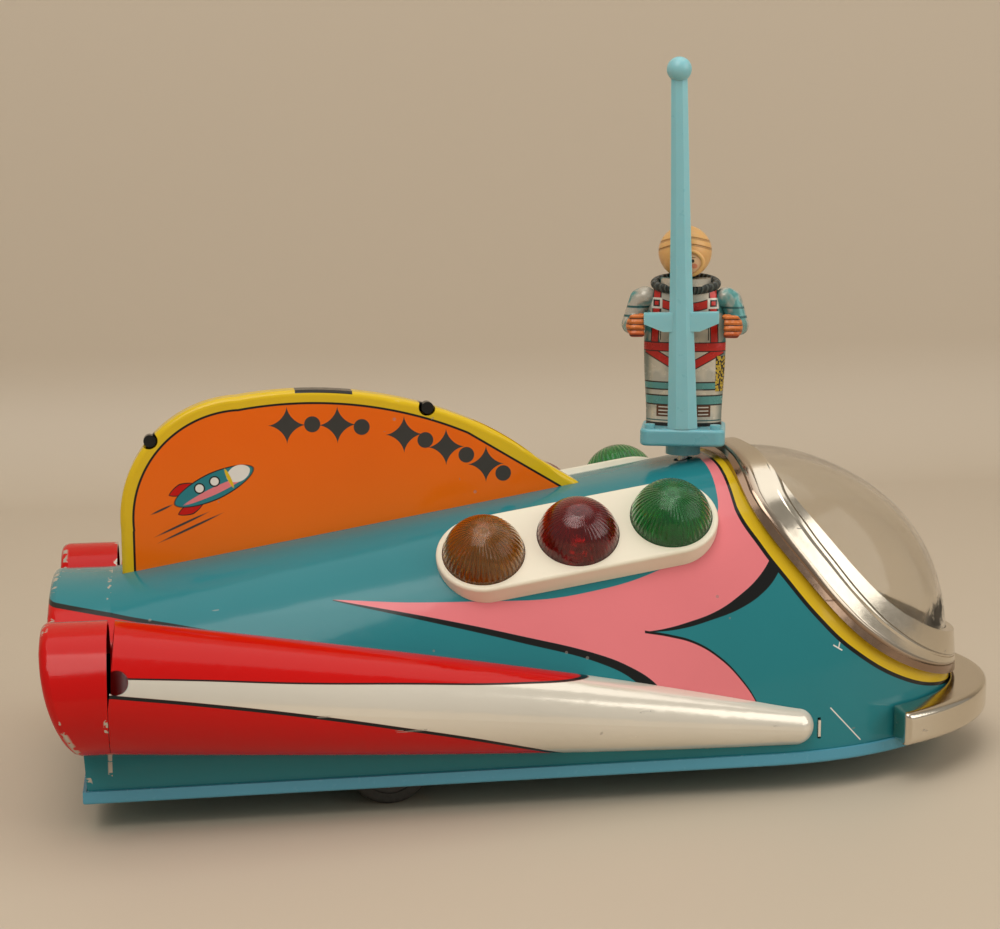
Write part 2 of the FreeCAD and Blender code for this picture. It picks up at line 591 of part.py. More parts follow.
def main():
    hull = hull_shell()
    save("hull_shell", hull)
    save("rear_cap", rear_cap())
    save("base_pan", base_pan())
    pod, tab = left_pod()
    left = Part.makeCompound([pod, tab])
    save("left_pod", left)
    save("right_pod", mirrored(left))

    half = fin_half()
    save("left_fin_half", half.multiFuse(fin_tabs()).removeSplitter())
    save("right_fin_half", mirrored(half).cut(fin_notches()))

    plate = lamp_plate()
    save("left_lamp_plate", plate)
    save("right_lamp_plate", mirrored(plate))
    for colour, x in (("amber", -lens_pitch), ("red", 0), ("green", lens_pitch)):
        dome = lens(x)
        save("left_" + colour + "_lens", dome)
        save("right_" + colour + "_lens", mirrored(dome))

    save("canopy_ring", canopy_ring())
    save("canopy_dome", canopy_dome())
    save("cockpit_deck", cockpit_deck())
    save("bumper", bumper())

    save("battery_box", battery_box())
    save("battery_cells", Part.makeCompound([cell(-13.4), cell(13.4)]))
    leaves = [box(-101.7, -101.3, -22, 22, 14, 32), box(-48.3, -47.9, -22, -5, 14, 32),
              box(-48.3, -47.9, 5, 22, 14, 32)]
    save("contact_leaves", Part.makeCompound(leaves))
    save("battery_door", battery_door())
    save("door_hinge_pin", crosswise(0.6, -14.6, 14.6, -104.6, 6.3))

    knob = box(-14.6, -9.6, -2.0, 2.0, 5.9, 10.4)
    knob = knob.makeFillet(0.6, knob.Edges)
    save("switch_knob", knob.fuse(box(-15.6, -8.6, -3.4, 3.4, 9.0, 9.8)).removeSplitter())
    blade = box(-17, 2, -6, -5.4, 8.2, 12).fuse(box(-17, 2, -6, -3.9, 8.2, 8.8)).removeSplitter()
    save("switch_blade", blade)

    can = upright(11.2, 14.0, lower_plate_z - gap, motor_x)
    can = can.makeFillet(1.5, [e for e in can.Edges if e.BoundBox.ZMax < 14.1 and e.BoundBox.ZLength < 0.01])
    save("motor_can", can.cut(upright(1.15, 36, 50, motor_x)))
    save("motor_cap", upright(8.5, 12.6, 14.0, motor_x))
    save("motor_shaft", upright(1.0, 37, 50.6, motor_x))
    save("motor_pinion", toothed(10, 1.0, 0, 46.4, 50.2, motor_x).cut(upright(1.0, 40, 60, motor_x)))

    lower, upper, posts, legs = gear_frame()
    save("lower_gear_plate", lower)
    save("upper_gear_plate", upper)
    save("frame_supports", Part.makeCompound(posts.Solids + legs.Solids))
    save("idler_shaft", upright(1.0, lower_plate_z - 0.8, upper_plate_z + 1.8, idler_x))
    half_step_30 = math.pi / 30
    idler = toothed(30, 1.0, math.pi + half_step_30, 46.9, 49.6, idler_x)
    save("idler_gear", idler.cut(upright(1.0, 40, 60, idler_x)))
    save("idler_pinion", toothed(10, 1.0, 0, 49.7, 54.2, idler_x).cut(upright(1.0, 40, 60, idler_x)))
    save("spindle", upright(spindle_radius, 16.6, 81.9, spindle_x))
    big = toothed(30, 1.0, math.pi + half_step_30, 50.9, 53.6, spindle_x)
    save("spindle_gear", big.cut(upright(spindle_radius, 40, 60, spindle_x)))
    pinion = toothed(12, 0.7, math.pi / 2, 17.4, 21.6, spindle_x)
    save("crown_pinion", pinion.cut(upright(spindle_radius, 10, 30, spindle_x)))
    save("bearing_tube", tube(3.0, spindle_radius + running, 26.0, lower_plate_z - 0.02, spindle_x))

    save("turret_bracket", turret())
    save("drive_axle", crosswise(axle_radius, -15.2, 15.2, spindle_x, drive_wheel_radius))
    save("crown_gear", crown_gear(24, 0.7, 5.0, 3.6))
    rims, tyres = wheel_pair(drive_wheel_radius, spindle_x, 9.2, 4.8, drive_wheel_radius)
    save("drive_rims", rims)
    save("drive_tyres", tyres)

    save("rear_axle", crosswise(axle_radius, -35.0, 35.0, rear_axle_x, rear_wheel_radius))
    rims, tyres = wheel_pair(rear_wheel_radius, rear_axle_x, 29.0, 5.4, rear_wheel_radius)
    save("rear_rims", rims)
    save("rear_tyres", tyres)
    arms = [box(rear_axle_x - 4, rear_axle_x + 4, y, y + 0.8, hull_floor_z, 14.5) for y in (-25.6, 24.8)]
    floor = box(rear_axle_x - 3, rear_axle_x + 6, -25.6, 25.6, hull_floor_z, hull_floor_z + 0.5)
    bracket = floor.multiFuse(arms).removeSplitter()
    save("rear_axle_bracket", bracket.cut(crosswise(axle_radius + running, -40, 40, rear_axle_x, rear_wheel_radius)))

    for name, side in (("left", 1), ("right", -1)):
        save(name + "_bulb", bulb(side))
        save(name + "_bulb_socket", bulb_socket(side))

    save("stand", stand())
    save("mast", mast())
    body, collar = figure_body()
    front, back = box(-20, 20, -20, 1.2, 80, 130), box(-20, 20, 1.2, 20, 80, 130)
    save("astronaut_front", turned(body.common(front).fuse(collar.common(front)).removeSplitter()))
    save("astronaut_back", turned(body.common(back).fuse(collar.common(back)).removeSplitter()))
    save("astronaut_left_arm", turned(figure_arm(1)))
    save("astronaut_right_arm", turned(figure_arm(-1)))
    save("astronaut_head", turned(figure_head()))


main()
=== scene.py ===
import math
import bpy
import bmesh
from mathutils import Matrix, Vector


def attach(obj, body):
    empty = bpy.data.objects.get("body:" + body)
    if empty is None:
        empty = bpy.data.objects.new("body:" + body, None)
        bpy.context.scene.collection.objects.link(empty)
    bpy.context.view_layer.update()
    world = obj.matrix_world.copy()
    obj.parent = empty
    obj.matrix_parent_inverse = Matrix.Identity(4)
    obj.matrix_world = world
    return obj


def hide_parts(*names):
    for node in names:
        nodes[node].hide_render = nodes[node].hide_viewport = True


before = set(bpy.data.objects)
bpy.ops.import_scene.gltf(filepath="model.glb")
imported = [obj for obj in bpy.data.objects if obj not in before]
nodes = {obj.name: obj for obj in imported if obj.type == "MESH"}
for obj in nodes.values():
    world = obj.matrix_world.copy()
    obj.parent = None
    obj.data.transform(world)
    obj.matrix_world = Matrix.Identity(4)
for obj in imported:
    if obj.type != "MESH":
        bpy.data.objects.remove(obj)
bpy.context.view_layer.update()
mm = 0.001


# shader tree helpers
def setValues(node, values):
    for name, value in values.items():
        socket = node.inputs[name]
        if isinstance(value, bpy.types.NodeSocket):
            node.id_data.links.new(value, socket)
        elif socket.type == "RGBA" and len(value) == 3:
            socket.default_value = (*value, 1)
        else:
            socket.default_value = value
    return node


def add(tree, kind, values=None, **settings):
    node = tree.nodes.new("ShaderNode" + kind)
    for name, value in settings.items():
        setattr(node, name, value)
    return setValues(node, values or {})


def calc(tree, operation, a, b=0.0, c=0.0, clamp=False):
    node = add(tree, "Math", {0: a, 1: b, 2: c}, operation=operation, use_clamp=clamp)
    return node.outputs[0]


def plus(tree, a, b, clamp=False):
    return calc(tree, "ADD", a, b, clamp=clamp)


def minus(tree, a, b, clamp=False):
    return calc(tree, "SUBTRACT", a, b, clamp=clamp)


def times(tree, a, b, clamp=False):
    return calc(tree, "MULTIPLY", a, b, clamp=clamp)


# 1 where the value is over the level, 0 elsewhere
def above(tree, value, level):
    return calc(tree, "GREATER_THAN", value, level)


def mixColour(tree, factor, a, b, blend="MIX"):
    node = tree.nodes.new("ShaderNodeMix")
    node.data_type = "RGBA"
    node.blend_type = blend
    for index, value in ((0, factor), (6, a), (7, b)):
        if isinstance(value, bpy.types.NodeSocket):
            tree.links.new(value, node.inputs[index])
        else:
            node.inputs[index].default_value = value if index == 0 else (*value[:3], 1)
    return node.outputs[2]


# a smooth curve through (in, out) points in millimetres
def curveThrough(tree, value, points):
    ins = [p[0] for p in points]
    outs = [p[1] for p in points]
    lowIn, spanIn = min(ins), max(ins) - min(ins)
    lowOut, spanOut = min(outs), max(max(outs) - min(outs), 0.001)
    share = calc(tree, "DIVIDE", minus(tree, value, lowIn), spanIn, clamp=True)
    node = tree.nodes.new("ShaderNodeFloatCurve")
    curve = node.mapping.curves[0]
    for i, (a, b) in enumerate(points):
        place = ((a - lowIn) / spanIn, (b - lowOut) / spanOut)
        point = curve.points[i] if i < 2 else curve.points.new(*place)
        point.location = place
    for point in curve.points:
        point.handle_type = "AUTO_CLAMPED"
    node.mapping.update()
    tree.links.new(share, node.inputs["Value"])
    return plus(tree, times(tree, node.outputs[0], spanOut), lowOut)


# 1 where the distance is above zero, with a soft edge the width of a printed line's
def inside(tree, distance, softness=0.12):
    return plus(tree, calc(tree, "DIVIDE", distance, softness), 0.5, clamp=True)


def less(tree, a, b, softness=0.12):
    return inside(tree, minus(tree, b, a), softness)


def between(tree, low, value, high):
    return both(tree, less(tree, low, value), less(tree, value, high))


def both(tree, *masks):
    result = masks[0]
    for mask in masks[1:]:
        result = times(tree, result, mask)
    return result


def either(tree, *masks):
    result = masks[0]
    for mask in masks[1:]:
        result = calc(tree, "MAXIMUM", result, mask)
    return result


def opposite(tree, mask):
    return minus(tree, 1.0, mask)


def here(tree):
    return add(tree, "TexCoord").outputs["Object"]


def noise(tree, place, scale, detail=2.0):
    return add(tree, "TexNoise", {"Vector": place, "Scale": scale, "Detail": detail}).outputs["Fac"]


def inMillimetres(tree, place):
    parts = add(tree, "SeparateXYZ", {0: place})
    return [times(tree, parts.outputs[i], 1000.0) for i in range(3)]


# the place on the piece, in a frame of the piece's own that the matrix puts in the object
def placeIn(tree, matrix):
    back = matrix.inverted()
    moved = add(tree, "Mapping", {"Vector": here(tree), "Location": back.translation,
                                  "Rotation": back.to_euler()})
    return inMillimetres(tree, moved.outputs[0])


# 1 inside a shape |x/a|^power + |z/b|^power = 1 about a centre, turned by an angle: 2 is an oval, 0.6 a spark
def spot(tree, x, z, centre, a, b=None, angle=0.0, power=2.0, softness=0.12):
    b = b or a
    right = minus(tree, x, centre[0])
    up = minus(tree, z, centre[1])
    along = plus(tree, times(tree, right, math.cos(angle)), times(tree, up, math.sin(angle)))
    across = minus(tree, times(tree, up, math.cos(angle)),
                  times(tree, right, math.sin(angle)))
    terms = [calc(tree, "POWER", calc(tree, "ABSOLUTE", calc(tree, "DIVIDE", value, reach)), power)
             for value, reach in ((along, a), (across, b))]
    left = opposite(tree, calc(tree, "POWER", plus(tree, *terms), 1.0 / power))
    return inside(tree, times(tree, left, min(a, b)), softness)


# a strip between two (x, z) points, cut square at both ends
def strap(tree, x, z, a, b, half):
    length = math.hypot(b[0] - a[0], b[1] - a[1])
    ux, uz = (b[0] - a[0]) / length, (b[1] - a[1]) / length
    right, up = minus(tree, x, a[0]), minus(tree, z, a[1])
    along = plus(tree, times(tree, right, ux), times(tree, up, uz))
    across = minus(tree, times(tree, up, ux), times(tree, right, uz))
    return both(tree, less(tree, calc(tree, "ABSOLUTE", across), half), between(tree, 0.0, along, length))


# 1 in an upright rectangle
def block(tree, x, z, left, right, foot, top):
    return both(tree, between(tree, left, x, right), between(tree, foot, z, top))


# the centre and radius of the circle through three points
def circleThrough(a, b, c):
    d = 2 * (a[0] * (b[1] - c[1]) + b[0] * (c[1] - a[1]) + c[0] * (a[1] - b[1]))
    squares = [p[0] ** 2 + p[1] ** 2 for p in (a, b, c)]
    x = (squares[0] * (b[1] - c[1]) + squares[1] * (c[1] - a[1]) + squares[2] * (a[1] - b[1])) / d
    y = (squares[0] * (c[0] - b[0]) + squares[1] * (a[0] - c[0]) + squares[2] * (b[0] - a[0])) / d
    return (x, y), math.hypot(a[0] - x, a[1] - y)


# how far a place is inside a circle
def insideCircle(tree, x, z, centre, radius):
    right = minus(tree, x, centre[0])
    up = minus(tree, z, centre[1])
    square = plus(tree, times(tree, right, right), times(tree, up, up))
    return minus(tree, radius, calc(tree, "SQRT", square))


def newGroup(name, inputs, outputs):
    group = bpy.data.node_groups.new(name, "ShaderNodeTree")
    for label, kind, value in inputs:
        socket = group.interface.new_socket(name=label, in_out="INPUT", socket_type="NodeSocket" + kind)
        if value is not None:
            socket.default_value = value
    for label, kind in outputs:
        group.interface.new_socket(name=label, in_out="OUTPUT", socket_type="NodeSocket" + kind)
    return group, group.nodes.new("NodeGroupInput"), group.nodes.new("NodeGroupOutput")


def useGroup(tree, group, **values):
    node = tree.nodes.new("ShaderNodeGroup")
    node.node_tree = group
    return setValues(node, values)


# a colour made a little darker and lighter in clouds
def shaded(tree, colour, cloud, depth):
    shade = plus(tree, times(tree, cloud, depth), 1.0 - depth / 2)
    grey = add(tree, "CombineColor", {0: shade, 1: shade, 2: shade}).outputs[0]
    return mixColour(tree, 1.0, colour, grey, "MULTIPLY")


# tin: worn where it is scratched in broad worn areas, and chipped in specks
tin = {"scratchLevel": 0.735, "wornArea": 0.58, "speckSize": 0.09, "chipArea": 0.6,
       "bareColour": (0.42, 0.40, 0.36), "cloudDepth": 0.16, "roughSpread": 0.16, "bareRoughness": 0.25}


def makeTinFinish():
    group, given, result = newGroup(
        "tinFinish", [("Colour", "Color", (0.5, 0.5, 0.5, 1)), ("Wear", "Float", 0.3), ("Gloss", "Float", 0.2)],
        [("Colour", "Color"), ("Roughness", "Float"), ("Height", "Float"), ("Bare", "Float")])
    place = here(group)
    broad = noise(group, place, 28.0, 3.0)
    fine = noise(group, place, 620.0, 4.0)
    stretched = add(group, "Mapping", {"Vector": place, "Rotation": (0.3, 0.5, 0.9), "Scale": (60, 900, 700)})
    scratch = above(group, noise(group, stretched.outputs[0], 1.0), tin["scratchLevel"])
    scratched = both(group, scratch, above(group, broad, tin["wornArea"]))
    specks = add(group, "TexVoronoi", {"Vector": place, "Scale": 210.0}).outputs["Distance"]
    chipped = both(group, calc(group, "LESS_THAN", specks, tin["speckSize"]),
                   above(group, noise(group, place, 46.0, 5.0), tin["chipArea"]))
    worn = times(group, either(group, chipped, scratched), given.outputs["Wear"], clamp=True)
    toned = shaded(group, given.outputs["Colour"], broad, tin["cloudDepth"])
    coloured = mixColour(group, worn, toned, tin["bareColour"])
    rough = plus(group, given.outputs["Gloss"], times(group, minus(group, fine, 0.5), tin["roughSpread"]))
    rough = plus(group, rough, times(group, worn, tin["bareRoughness"]), clamp=True)
    height = minus(group, times(group, fine, 0.3), worn)
    for name, value in (("Colour", coloured), ("Roughness", rough), ("Height", height), ("Bare", worn)):
        group.links.new(value, result.inputs[name])
    return group


plastic = {"cloudDepth": 0.22, "roughSpread": 0.25, "dustColour": (0.45, 0.41, 0.35)}


def makeMoulding():
    group, given, result = newGroup(
        "moulding", [("Colour", "Color", (0.5, 0.5, 0.5, 1)), ("Grain", "Float", 500.0),
                     ("Roughness", "Float", 0.4), ("Dust", "Float", 0.2)],
        [("Colour", "Color"), ("Roughness", "Float"), ("Height", "Float")])
    place = here(group)
    grain = noise(group, place, given.outputs["Grain"], 4.0)
    cloud = noise(group, place, 60.0, 3.0)
    toned = shaded(group, given.outputs["Colour"], cloud, plastic["cloudDepth"])
    dusty = times(group, times(group, grain, cloud), given.outputs["Dust"], clamp=True)
    coloured = mixColour(group, dusty, toned, plastic["dustColour"])
    spread = times(group, minus(group, grain, 0.5), plastic["roughSpread"])
    rough = plus(group, given.outputs["Roughness"], spread, clamp=True)
    for name, value in (("Colour", coloured), ("Roughness", rough), ("Height", grain)):
        group.links.new(value, result.inputs[name])
    return group


tinFinish = makeTinFinish()
moulding = makeMoulding()


def startMaterial(name):
    material = bpy.data.materials.new(name)
    material.use_nodes = True
    tree = material.node_tree
    tree.nodes.clear()
    out = tree.nodes.new("ShaderNodeOutputMaterial")
    shader = tree.nodes.new("ShaderNodeBsdfPrincipled")
    tree.links.new(shader.outputs[0], out.inputs[0])
    return material, tree, shader


def nodeOf(tree, kind):
    return next(n for n in tree.nodes if n.type == kind)


def bumpFrom(tree, shader, height, distance):
    bump = add(tree, "Bump", {"Height": height, "Distance": distance})
    tree.links.new(bump.outputs[0], shader.inputs["Normal"])


def finishFrom(tree, shader, finish):
    for name, socket in (("Colour", "Base Color"), ("Roughness", "Roughness")):
        tree.links.new(finish.outputs[name], shader.inputs[socket])


# another colour over what a shader's base colour already shows
def repaint(tree, shader, mask, colour):
    base = shader.inputs["Base Color"].links[0].from_socket
    tree.links.new(mixColour(tree, mask, base, colour), shader.inputs["Base Color"])


# printed tinplate: paint(tree, x, y, z) gives the colour at each place, and where bare metal shows through it
def printedTin(name, paint, wear=0.35, gloss=0.16):
    material, tree, shader = startMaterial(name)
    colour, silver = paint(tree, *inMillimetres(tree, here(tree)))
    finish = useGroup(tree, tinFinish, Colour=colour, Wear=wear, Gloss=gloss)
    finishFrom(tree, shader, finish)
    metallic = times(tree, finish.outputs["Bare"], 0.8)
    if silver is not None:
        metallic = either(tree, metallic, times(tree, silver, 0.35))
    tree.links.new(metallic, shader.inputs["Metallic"])
    setValues(shader, {"Specular IOR Level": 0.2, "Coat Weight": 0.16, "Coat Roughness": 0.06})
    bumpFrom(tree, shader, finish.outputs["Height"], 0.00006)
    return material


def plainTin(name, colour, wear=0.3, gloss=0.3, metallic=0.0, coat=0.3):
    material, tree, shader = startMaterial(name)
    finish = useGroup(tree, tinFinish, Colour=colour, Wear=wear, Gloss=gloss)
    finishFrom(tree, shader, finish)
    setValues(shader, {"Metallic": metallic, "Coat Weight": coat})
    bumpFrom(tree, shader, finish.outputs["Height"], 0.00005)
    return material


def moulded(name, colour, grain=500.0, roughness=0.4, dust=0.2, subsurface=0.0):
    material, tree, shader = startMaterial(name)
    finish = useGroup(tree, moulding, Colour=colour, Grain=grain, Roughness=roughness, Dust=dust)
    finishFrom(tree, shader, finish)
    setValues(shader, {"Subsurface Weight": subsurface, "Subsurface Radius": (0.4, 0.9, 1.0),
                       "Subsurface Scale": 0.002})
    bumpFrom(tree, shader, finish.outputs["Height"], 0.00006)
    return material


paints = {
    "teal": (0.021, 0.212, 0.245), "red": (0.56, 0.003, 0.002), "silver": (0.80, 0.75, 0.65),
    "pink": (0.80, 0.215, 0.240), "black": (0.010, 0.011, 0.011), "yellow": (0.74, 0.50, 0.015),
    "orange": (0.86, 0.140, 0.002), "amberOrange": (0.88, 0.21, 0.012), "cream": (0.90, 0.83, 0.67),
    "panBlue": (0.10, 0.36, 0.50), "white": (0.80, 0.78, 0.72), "ink": (0.045, 0.045, 0.042),
}

# lines printed on the tin, as (x, z) points, but openingLine as (z, x)
openingLine = [(21.0, 114.0), (27.8, 92.0), (38.0, 75.0), (46.0, 66.5), (55.6, 58.6), (63.0, 53.2),
               (71.5, 48.6), (82.0, 48.2)]
redLine = [(-121, 48.6), (-103, 45.9), (-89, 44.1), (-73, 41.4), (-58, 38.0)]
redEdge = (0.45, 0.35)
flame = {
    "top": [(-53.6, 49.1), (-31, 48.3), (-9.9, 48.3), (9.3, 50.3), (24.2, 54.4), (34.5, 59.6), (38, 63.3),
            (40.3, 67.1), (41.1, 71.1), (41.6, 75.1), (43.1, 79)],
    "foot": [(-53.6, 49.1), (-31.3, 45.2), (-10.5, 40.7), (8.3, 35.8), (15.4, 32.8), (21.3, 28.8), (27, 20)],
    "footShadow": [(-53.6, 48.9), (-31.4, 44.2), (-10.6, 39.2), (8.2, 33.9), (16.5, 29.4), (23, 20)],
    "under": [(19.4, 40.6), (24.3, 41.2), (30.4, 42.6), (36.6, 44.6), (43, 48.3), (48.3, 52.7), (53.2, 59.5)],
    "underShadow": [(19.4, 40.4), (27.9, 41.0), (35.3, 42.7), (42.8, 45.2), (49.2, 49.1), (54.6, 55.4)],
    "lobeTop": [(19.4, 40.6), (25.4, 39.5), (31.4, 37.7), (37.3, 34), (42.1, 29.1), (46.2, 22.9), (49, 15)],
}
hullPrint = {"tip": -53.6, "notch": 19.4, "shadowEnd": 30.0, "lobeEnd": 50.0, "end": 60.0,
             "lobeEdge": (0.25, 0.35), "redEnd": -58.0, "redFoot": 24.0,
             "bands": ((4.3, "black"), (3.6, "yellow"), (1.1, "black"), (0.8, "yellow")),
             "scratches": (((65.0, 20.5), (73.5, 11.5), 0.14), ((66.0, 35.5), (68.4, 34.0), 0.16),
                           ((67.4, 34.6), (67.9, 36.4), 0.14))}


# 1 from a little below a line to a little above it
def nearLine(tree, z, line, widths):
    return between(tree, minus(tree, line, widths[0]), z, plus(tree, line, widths[1]))


def paintHull(tree, x, y, z):
    curves = {name: curveThrough(tree, x, points) for name, points in flame.items()}
    pastTip = less(tree, hullPrint["tip"], x)
    pastNotch = less(tree, hullPrint["notch"], x)
    ahead = less(tree, x, hullPrint["end"])
    gap = both(tree, pastNotch, between(tree, curves["lobeTop"], z, curves["under"]))
    pink = both(tree, pastTip, ahead, between(tree, curves["foot"], z, curves["top"]), opposite(tree, gap))
    lobeLine = both(tree, pastNotch, nearLine(tree, z, curves["lobeTop"], hullPrint["lobeEdge"]),
                    less(tree, x, hullPrint["lobeEnd"]))
    footLine = both(tree, pastTip, between(tree, curves["footShadow"], z, curves["foot"]),
                    less(tree, x, hullPrint["shadowEnd"]))
    underLine = both(tree, pastNotch, between(tree, curves["underShadow"], z, curves["under"]), ahead)
    line = curveThrough(tree, x, redLine)
    atRear = less(tree, x, hullPrint["redEnd"])
    red = both(tree, atRear, between(tree, hullPrint["redFoot"], z, line))
    edge = both(tree, atRear, nearLine(tree, z, line, redEdge))
    colour = mixColour(tree, pink, paints["teal"], paints["pink"])
    colour = mixColour(tree, red, colour, paints["red"])
    colour = mixColour(tree, either(tree, footLine, underLine, lobeLine, edge), colour, paints["black"])
    for a, b, half in hullPrint["scratches"]:
        colour = mixColour(tree, strap(tree, x, z, a, b, half), colour, paints["white"])
    # the yellow band with its black outline, which follows the canopy opening
    for shift, paint in hullPrint["bands"]:
        opening = curveThrough(tree, plus(tree, z, shift), openingLine)
        colour = mixColour(tree, less(tree, opening, plus(tree, x, shift)), colour, paints[paint])
    return colour, None


podPrint = {"top": [(-104, 40.2), (-85, 38.5), (-63, 36.3), (-40.4, 34.5), (-12, 32.2), (6, 31.4), (14, 31.4)],
            "foot": [(-104, 36.9), (-85, 33.9), (-63.3, 30), (-40.8, 25.2), (-17.4, 19.4), (2, 13.0), (14, 8)],
            "redTopEnd": 9.0, "redEnd": 14.0, "topEdge": (0.0, 0.35), "footEdge": (0.8, 0.0)}


def paintPod(tree, x, y, z):
    top = curveThrough(tree, x, podPrint["top"])
    foot = curveThrough(tree, x, podPrint["foot"])
    behindTop = less(tree, x, podPrint["redTopEnd"])
    behind = less(tree, x, podPrint["redEnd"])
    red = both(tree, either(tree, both(tree, less(tree, top, z), behindTop), less(tree, z, foot)), behind)
    edges = either(tree, both(tree, nearLine(tree, z, foot, podPrint["footEdge"]), behind),
                   both(tree, nearLine(tree, z, top, podPrint["topEdge"]), behindTop))
    colour = mixColour(tree, red, paints["silver"], paints["red"])
    return mixColour(tree, edges, colour, paints["black"]), opposite(tree, red)


# the rear cap: its end seen from the side as (z, x), and the rings printed round the exhausts on its back
tailLine = [(18.6, -111.3), (25.0, -114.2), (31.0, -116.6), (38.0, -118.6), (45.0, -119.6), (60.0, -119.6)]
capPrint = {"exhausts": ((43.5, 34.6), (0.0, 33.5)), "lobeHalf": 31.0, "apronTop": 20.5, "apronHalf": 43.3,
            "rings": ((9.6, "black"), (8.9, "yellow"), (6.2, "black"), (5.6, "orange"), (2.6, "black")),
            "seam": -105.9, "tailChips": (0.6, 1.7), "chipColour": (0.55, 0.50, 0.42)}


def paintRearCap(tree, x, y, z):
    aside = calc(tree, "ABSOLUTE", y)
    line = curveThrough(tree, x, redLine)
    middle = less(tree, aside, capPrint["lobeHalf"])
    aboveLine = both(tree, less(tree, line, z), middle)
    apron = both(tree, less(tree, z, capPrint["apronTop"]), less(tree, aside, capPrint["apronHalf"]))
    colour = mixColour(tree, either(tree, aboveLine, apron), paints["red"], paints["teal"])
    colour = mixColour(tree, both(tree, middle, nearLine(tree, z, line, redEdge)), colour, paints["black"])
    tail = minus(tree, x, curveThrough(tree, z, tailLine))
    onBack = less(tree, tail, 0.5)
    for place in capPrint["exhausts"]:
        for radius, paint in capPrint["rings"]:
            disc = both(tree, onBack, spot(tree, aside, z, place, radius))
            colour = mixColour(tree, disc, colour, paints[paint])
    near, far = capPrint["tailChips"]
    atTail = both(tree, less(tree, near, tail, 0.6), less(tree, tail, far, 0.6))
    atSeam = less(tree, capPrint["seam"], x, 0.3)
    place = here(tree)
    rubbed = both(tree, above(tree, noise(tree, place, 420.0, 3.0), 0.52),
                  above(tree, noise(tree, place, 90.0), 0.5))
    chips = both(tree, either(tree, atSeam, atTail), rubbed)
    return mixColour(tree, chips, colour, capPrint["chipColour"]), chips


# the tail fin: its outline is two arcs and a straight run down to the spine
fin = {"rear": ((-102.6, 62), (-95.7, 83.6), (-74, 94.2)), "back": ((-74, 94.2), (-46, 94.9), (-16, 86.9)),
       "run": ((-16, 86.9), (12.6, 69.6)), "rim": 2.9, "line": 0.55, "notches": ((-95.3, 84.0), (-27.6, 90.6)),
       "notch": (2.1, 1.9), "gap": (-60.0, -46.0, 80.0, 99.0), "gapDepth": 0.7, "fadeTop": 84.0,
       "fadeDepth": 30.0, "starDepth": 8.4, "starSize": 4.7, "dotShare": 0.42, "starPower": 0.62,
       "stars": (-2.8, 0.9, 4.6, 8.2, 14.6, 17.9, 21.2, 24.5, 27.8, 30.8)}


def finDepth(tree, x, z):
    rear = insideCircle(tree, x, z, *circleThrough(*fin["rear"]))
    back = insideCircle(tree, x, z, *circleThrough(*fin["back"]))
    (x1, z1), (x2, z2) = fin["run"]
    length = math.hypot(x2 - x1, z2 - z1)
    run = plus(tree, times(tree, minus(tree, x, x1), (z2 - z1) / length),
               times(tree, minus(tree, z1, z), (x2 - x1) / length))
    back = calc(tree, "MINIMUM", back, run)
    pastRear = above(tree, x, fin["rear"][2][0])
    mix = plus(tree, times(tree, back, pastRear),
               times(tree, rear, minus(tree, 1.0, pastRear)))
    upright = minus(tree, x, fin["rear"][0][0] - 0.1)
    below = calc(tree, "LESS_THAN", z, fin["rear"][0][1])
    return plus(tree, times(tree, upright, below),
                times(tree, mix, minus(tree, 1.0, below)))


# a small rocket drawn nose up, with streaks behind it: paint, place along and across it, size, power, outline
picture = {"tilt": 24, "middle": (-80.0, 72.5), "shapes": (
    ("red", -7.4, -2.6, 3.1, 1.2, 1.4, 0.3), ("red", -7.4, 2.6, 3.1, 1.2, 1.4, 0.3),
    ("teal", 0, 0, 10.3, 3.1, 1.8, 0.3), ("pink", 0, -1.1, 8.4, 0.9, 1.6, 0),
    ("white", 6.6, 0.3, 3.0, 2.0, 1.8, 0), ("yellow", 4.1, 0.2, 0.45, 2.5, 2.0, 0),
    ("white", 0.6, 1.0, 1.0, 1.0, 2.0, 0.35), ("white", -3.4, 1.0, 1.0, 1.0, 2.0, 0.35),
    ("ink", -11.0, -5.2, 6.4, 0.28, 2.0, 0), ("ink", -9.5, -6.9, 7.6, 0.28, 2.0, 0),
    ("ink", -13.8, 0.2, 2.6, 0.26, 2.0, 0))}


def finPicture(tree, x, z, colour):
    tilt = math.radians(picture["tilt"])
    for paint, along, across, a, b, power, outline in picture["shapes"]:
        centre = (picture["middle"][0] + along * math.cos(tilt) - across * math.sin(tilt),
                  picture["middle"][1] + along * math.sin(tilt) + across * math.cos(tilt))
        if outline:
            rim = spot(tree, x, z, centre, a + outline, b + outline, tilt, power)
            colour = mixColour(tree, rim, colour, paints["black"])
        colour = mixColour(tree, spot(tree, x, z, centre, a, b, tilt, power), colour, paints[paint])
    return colour


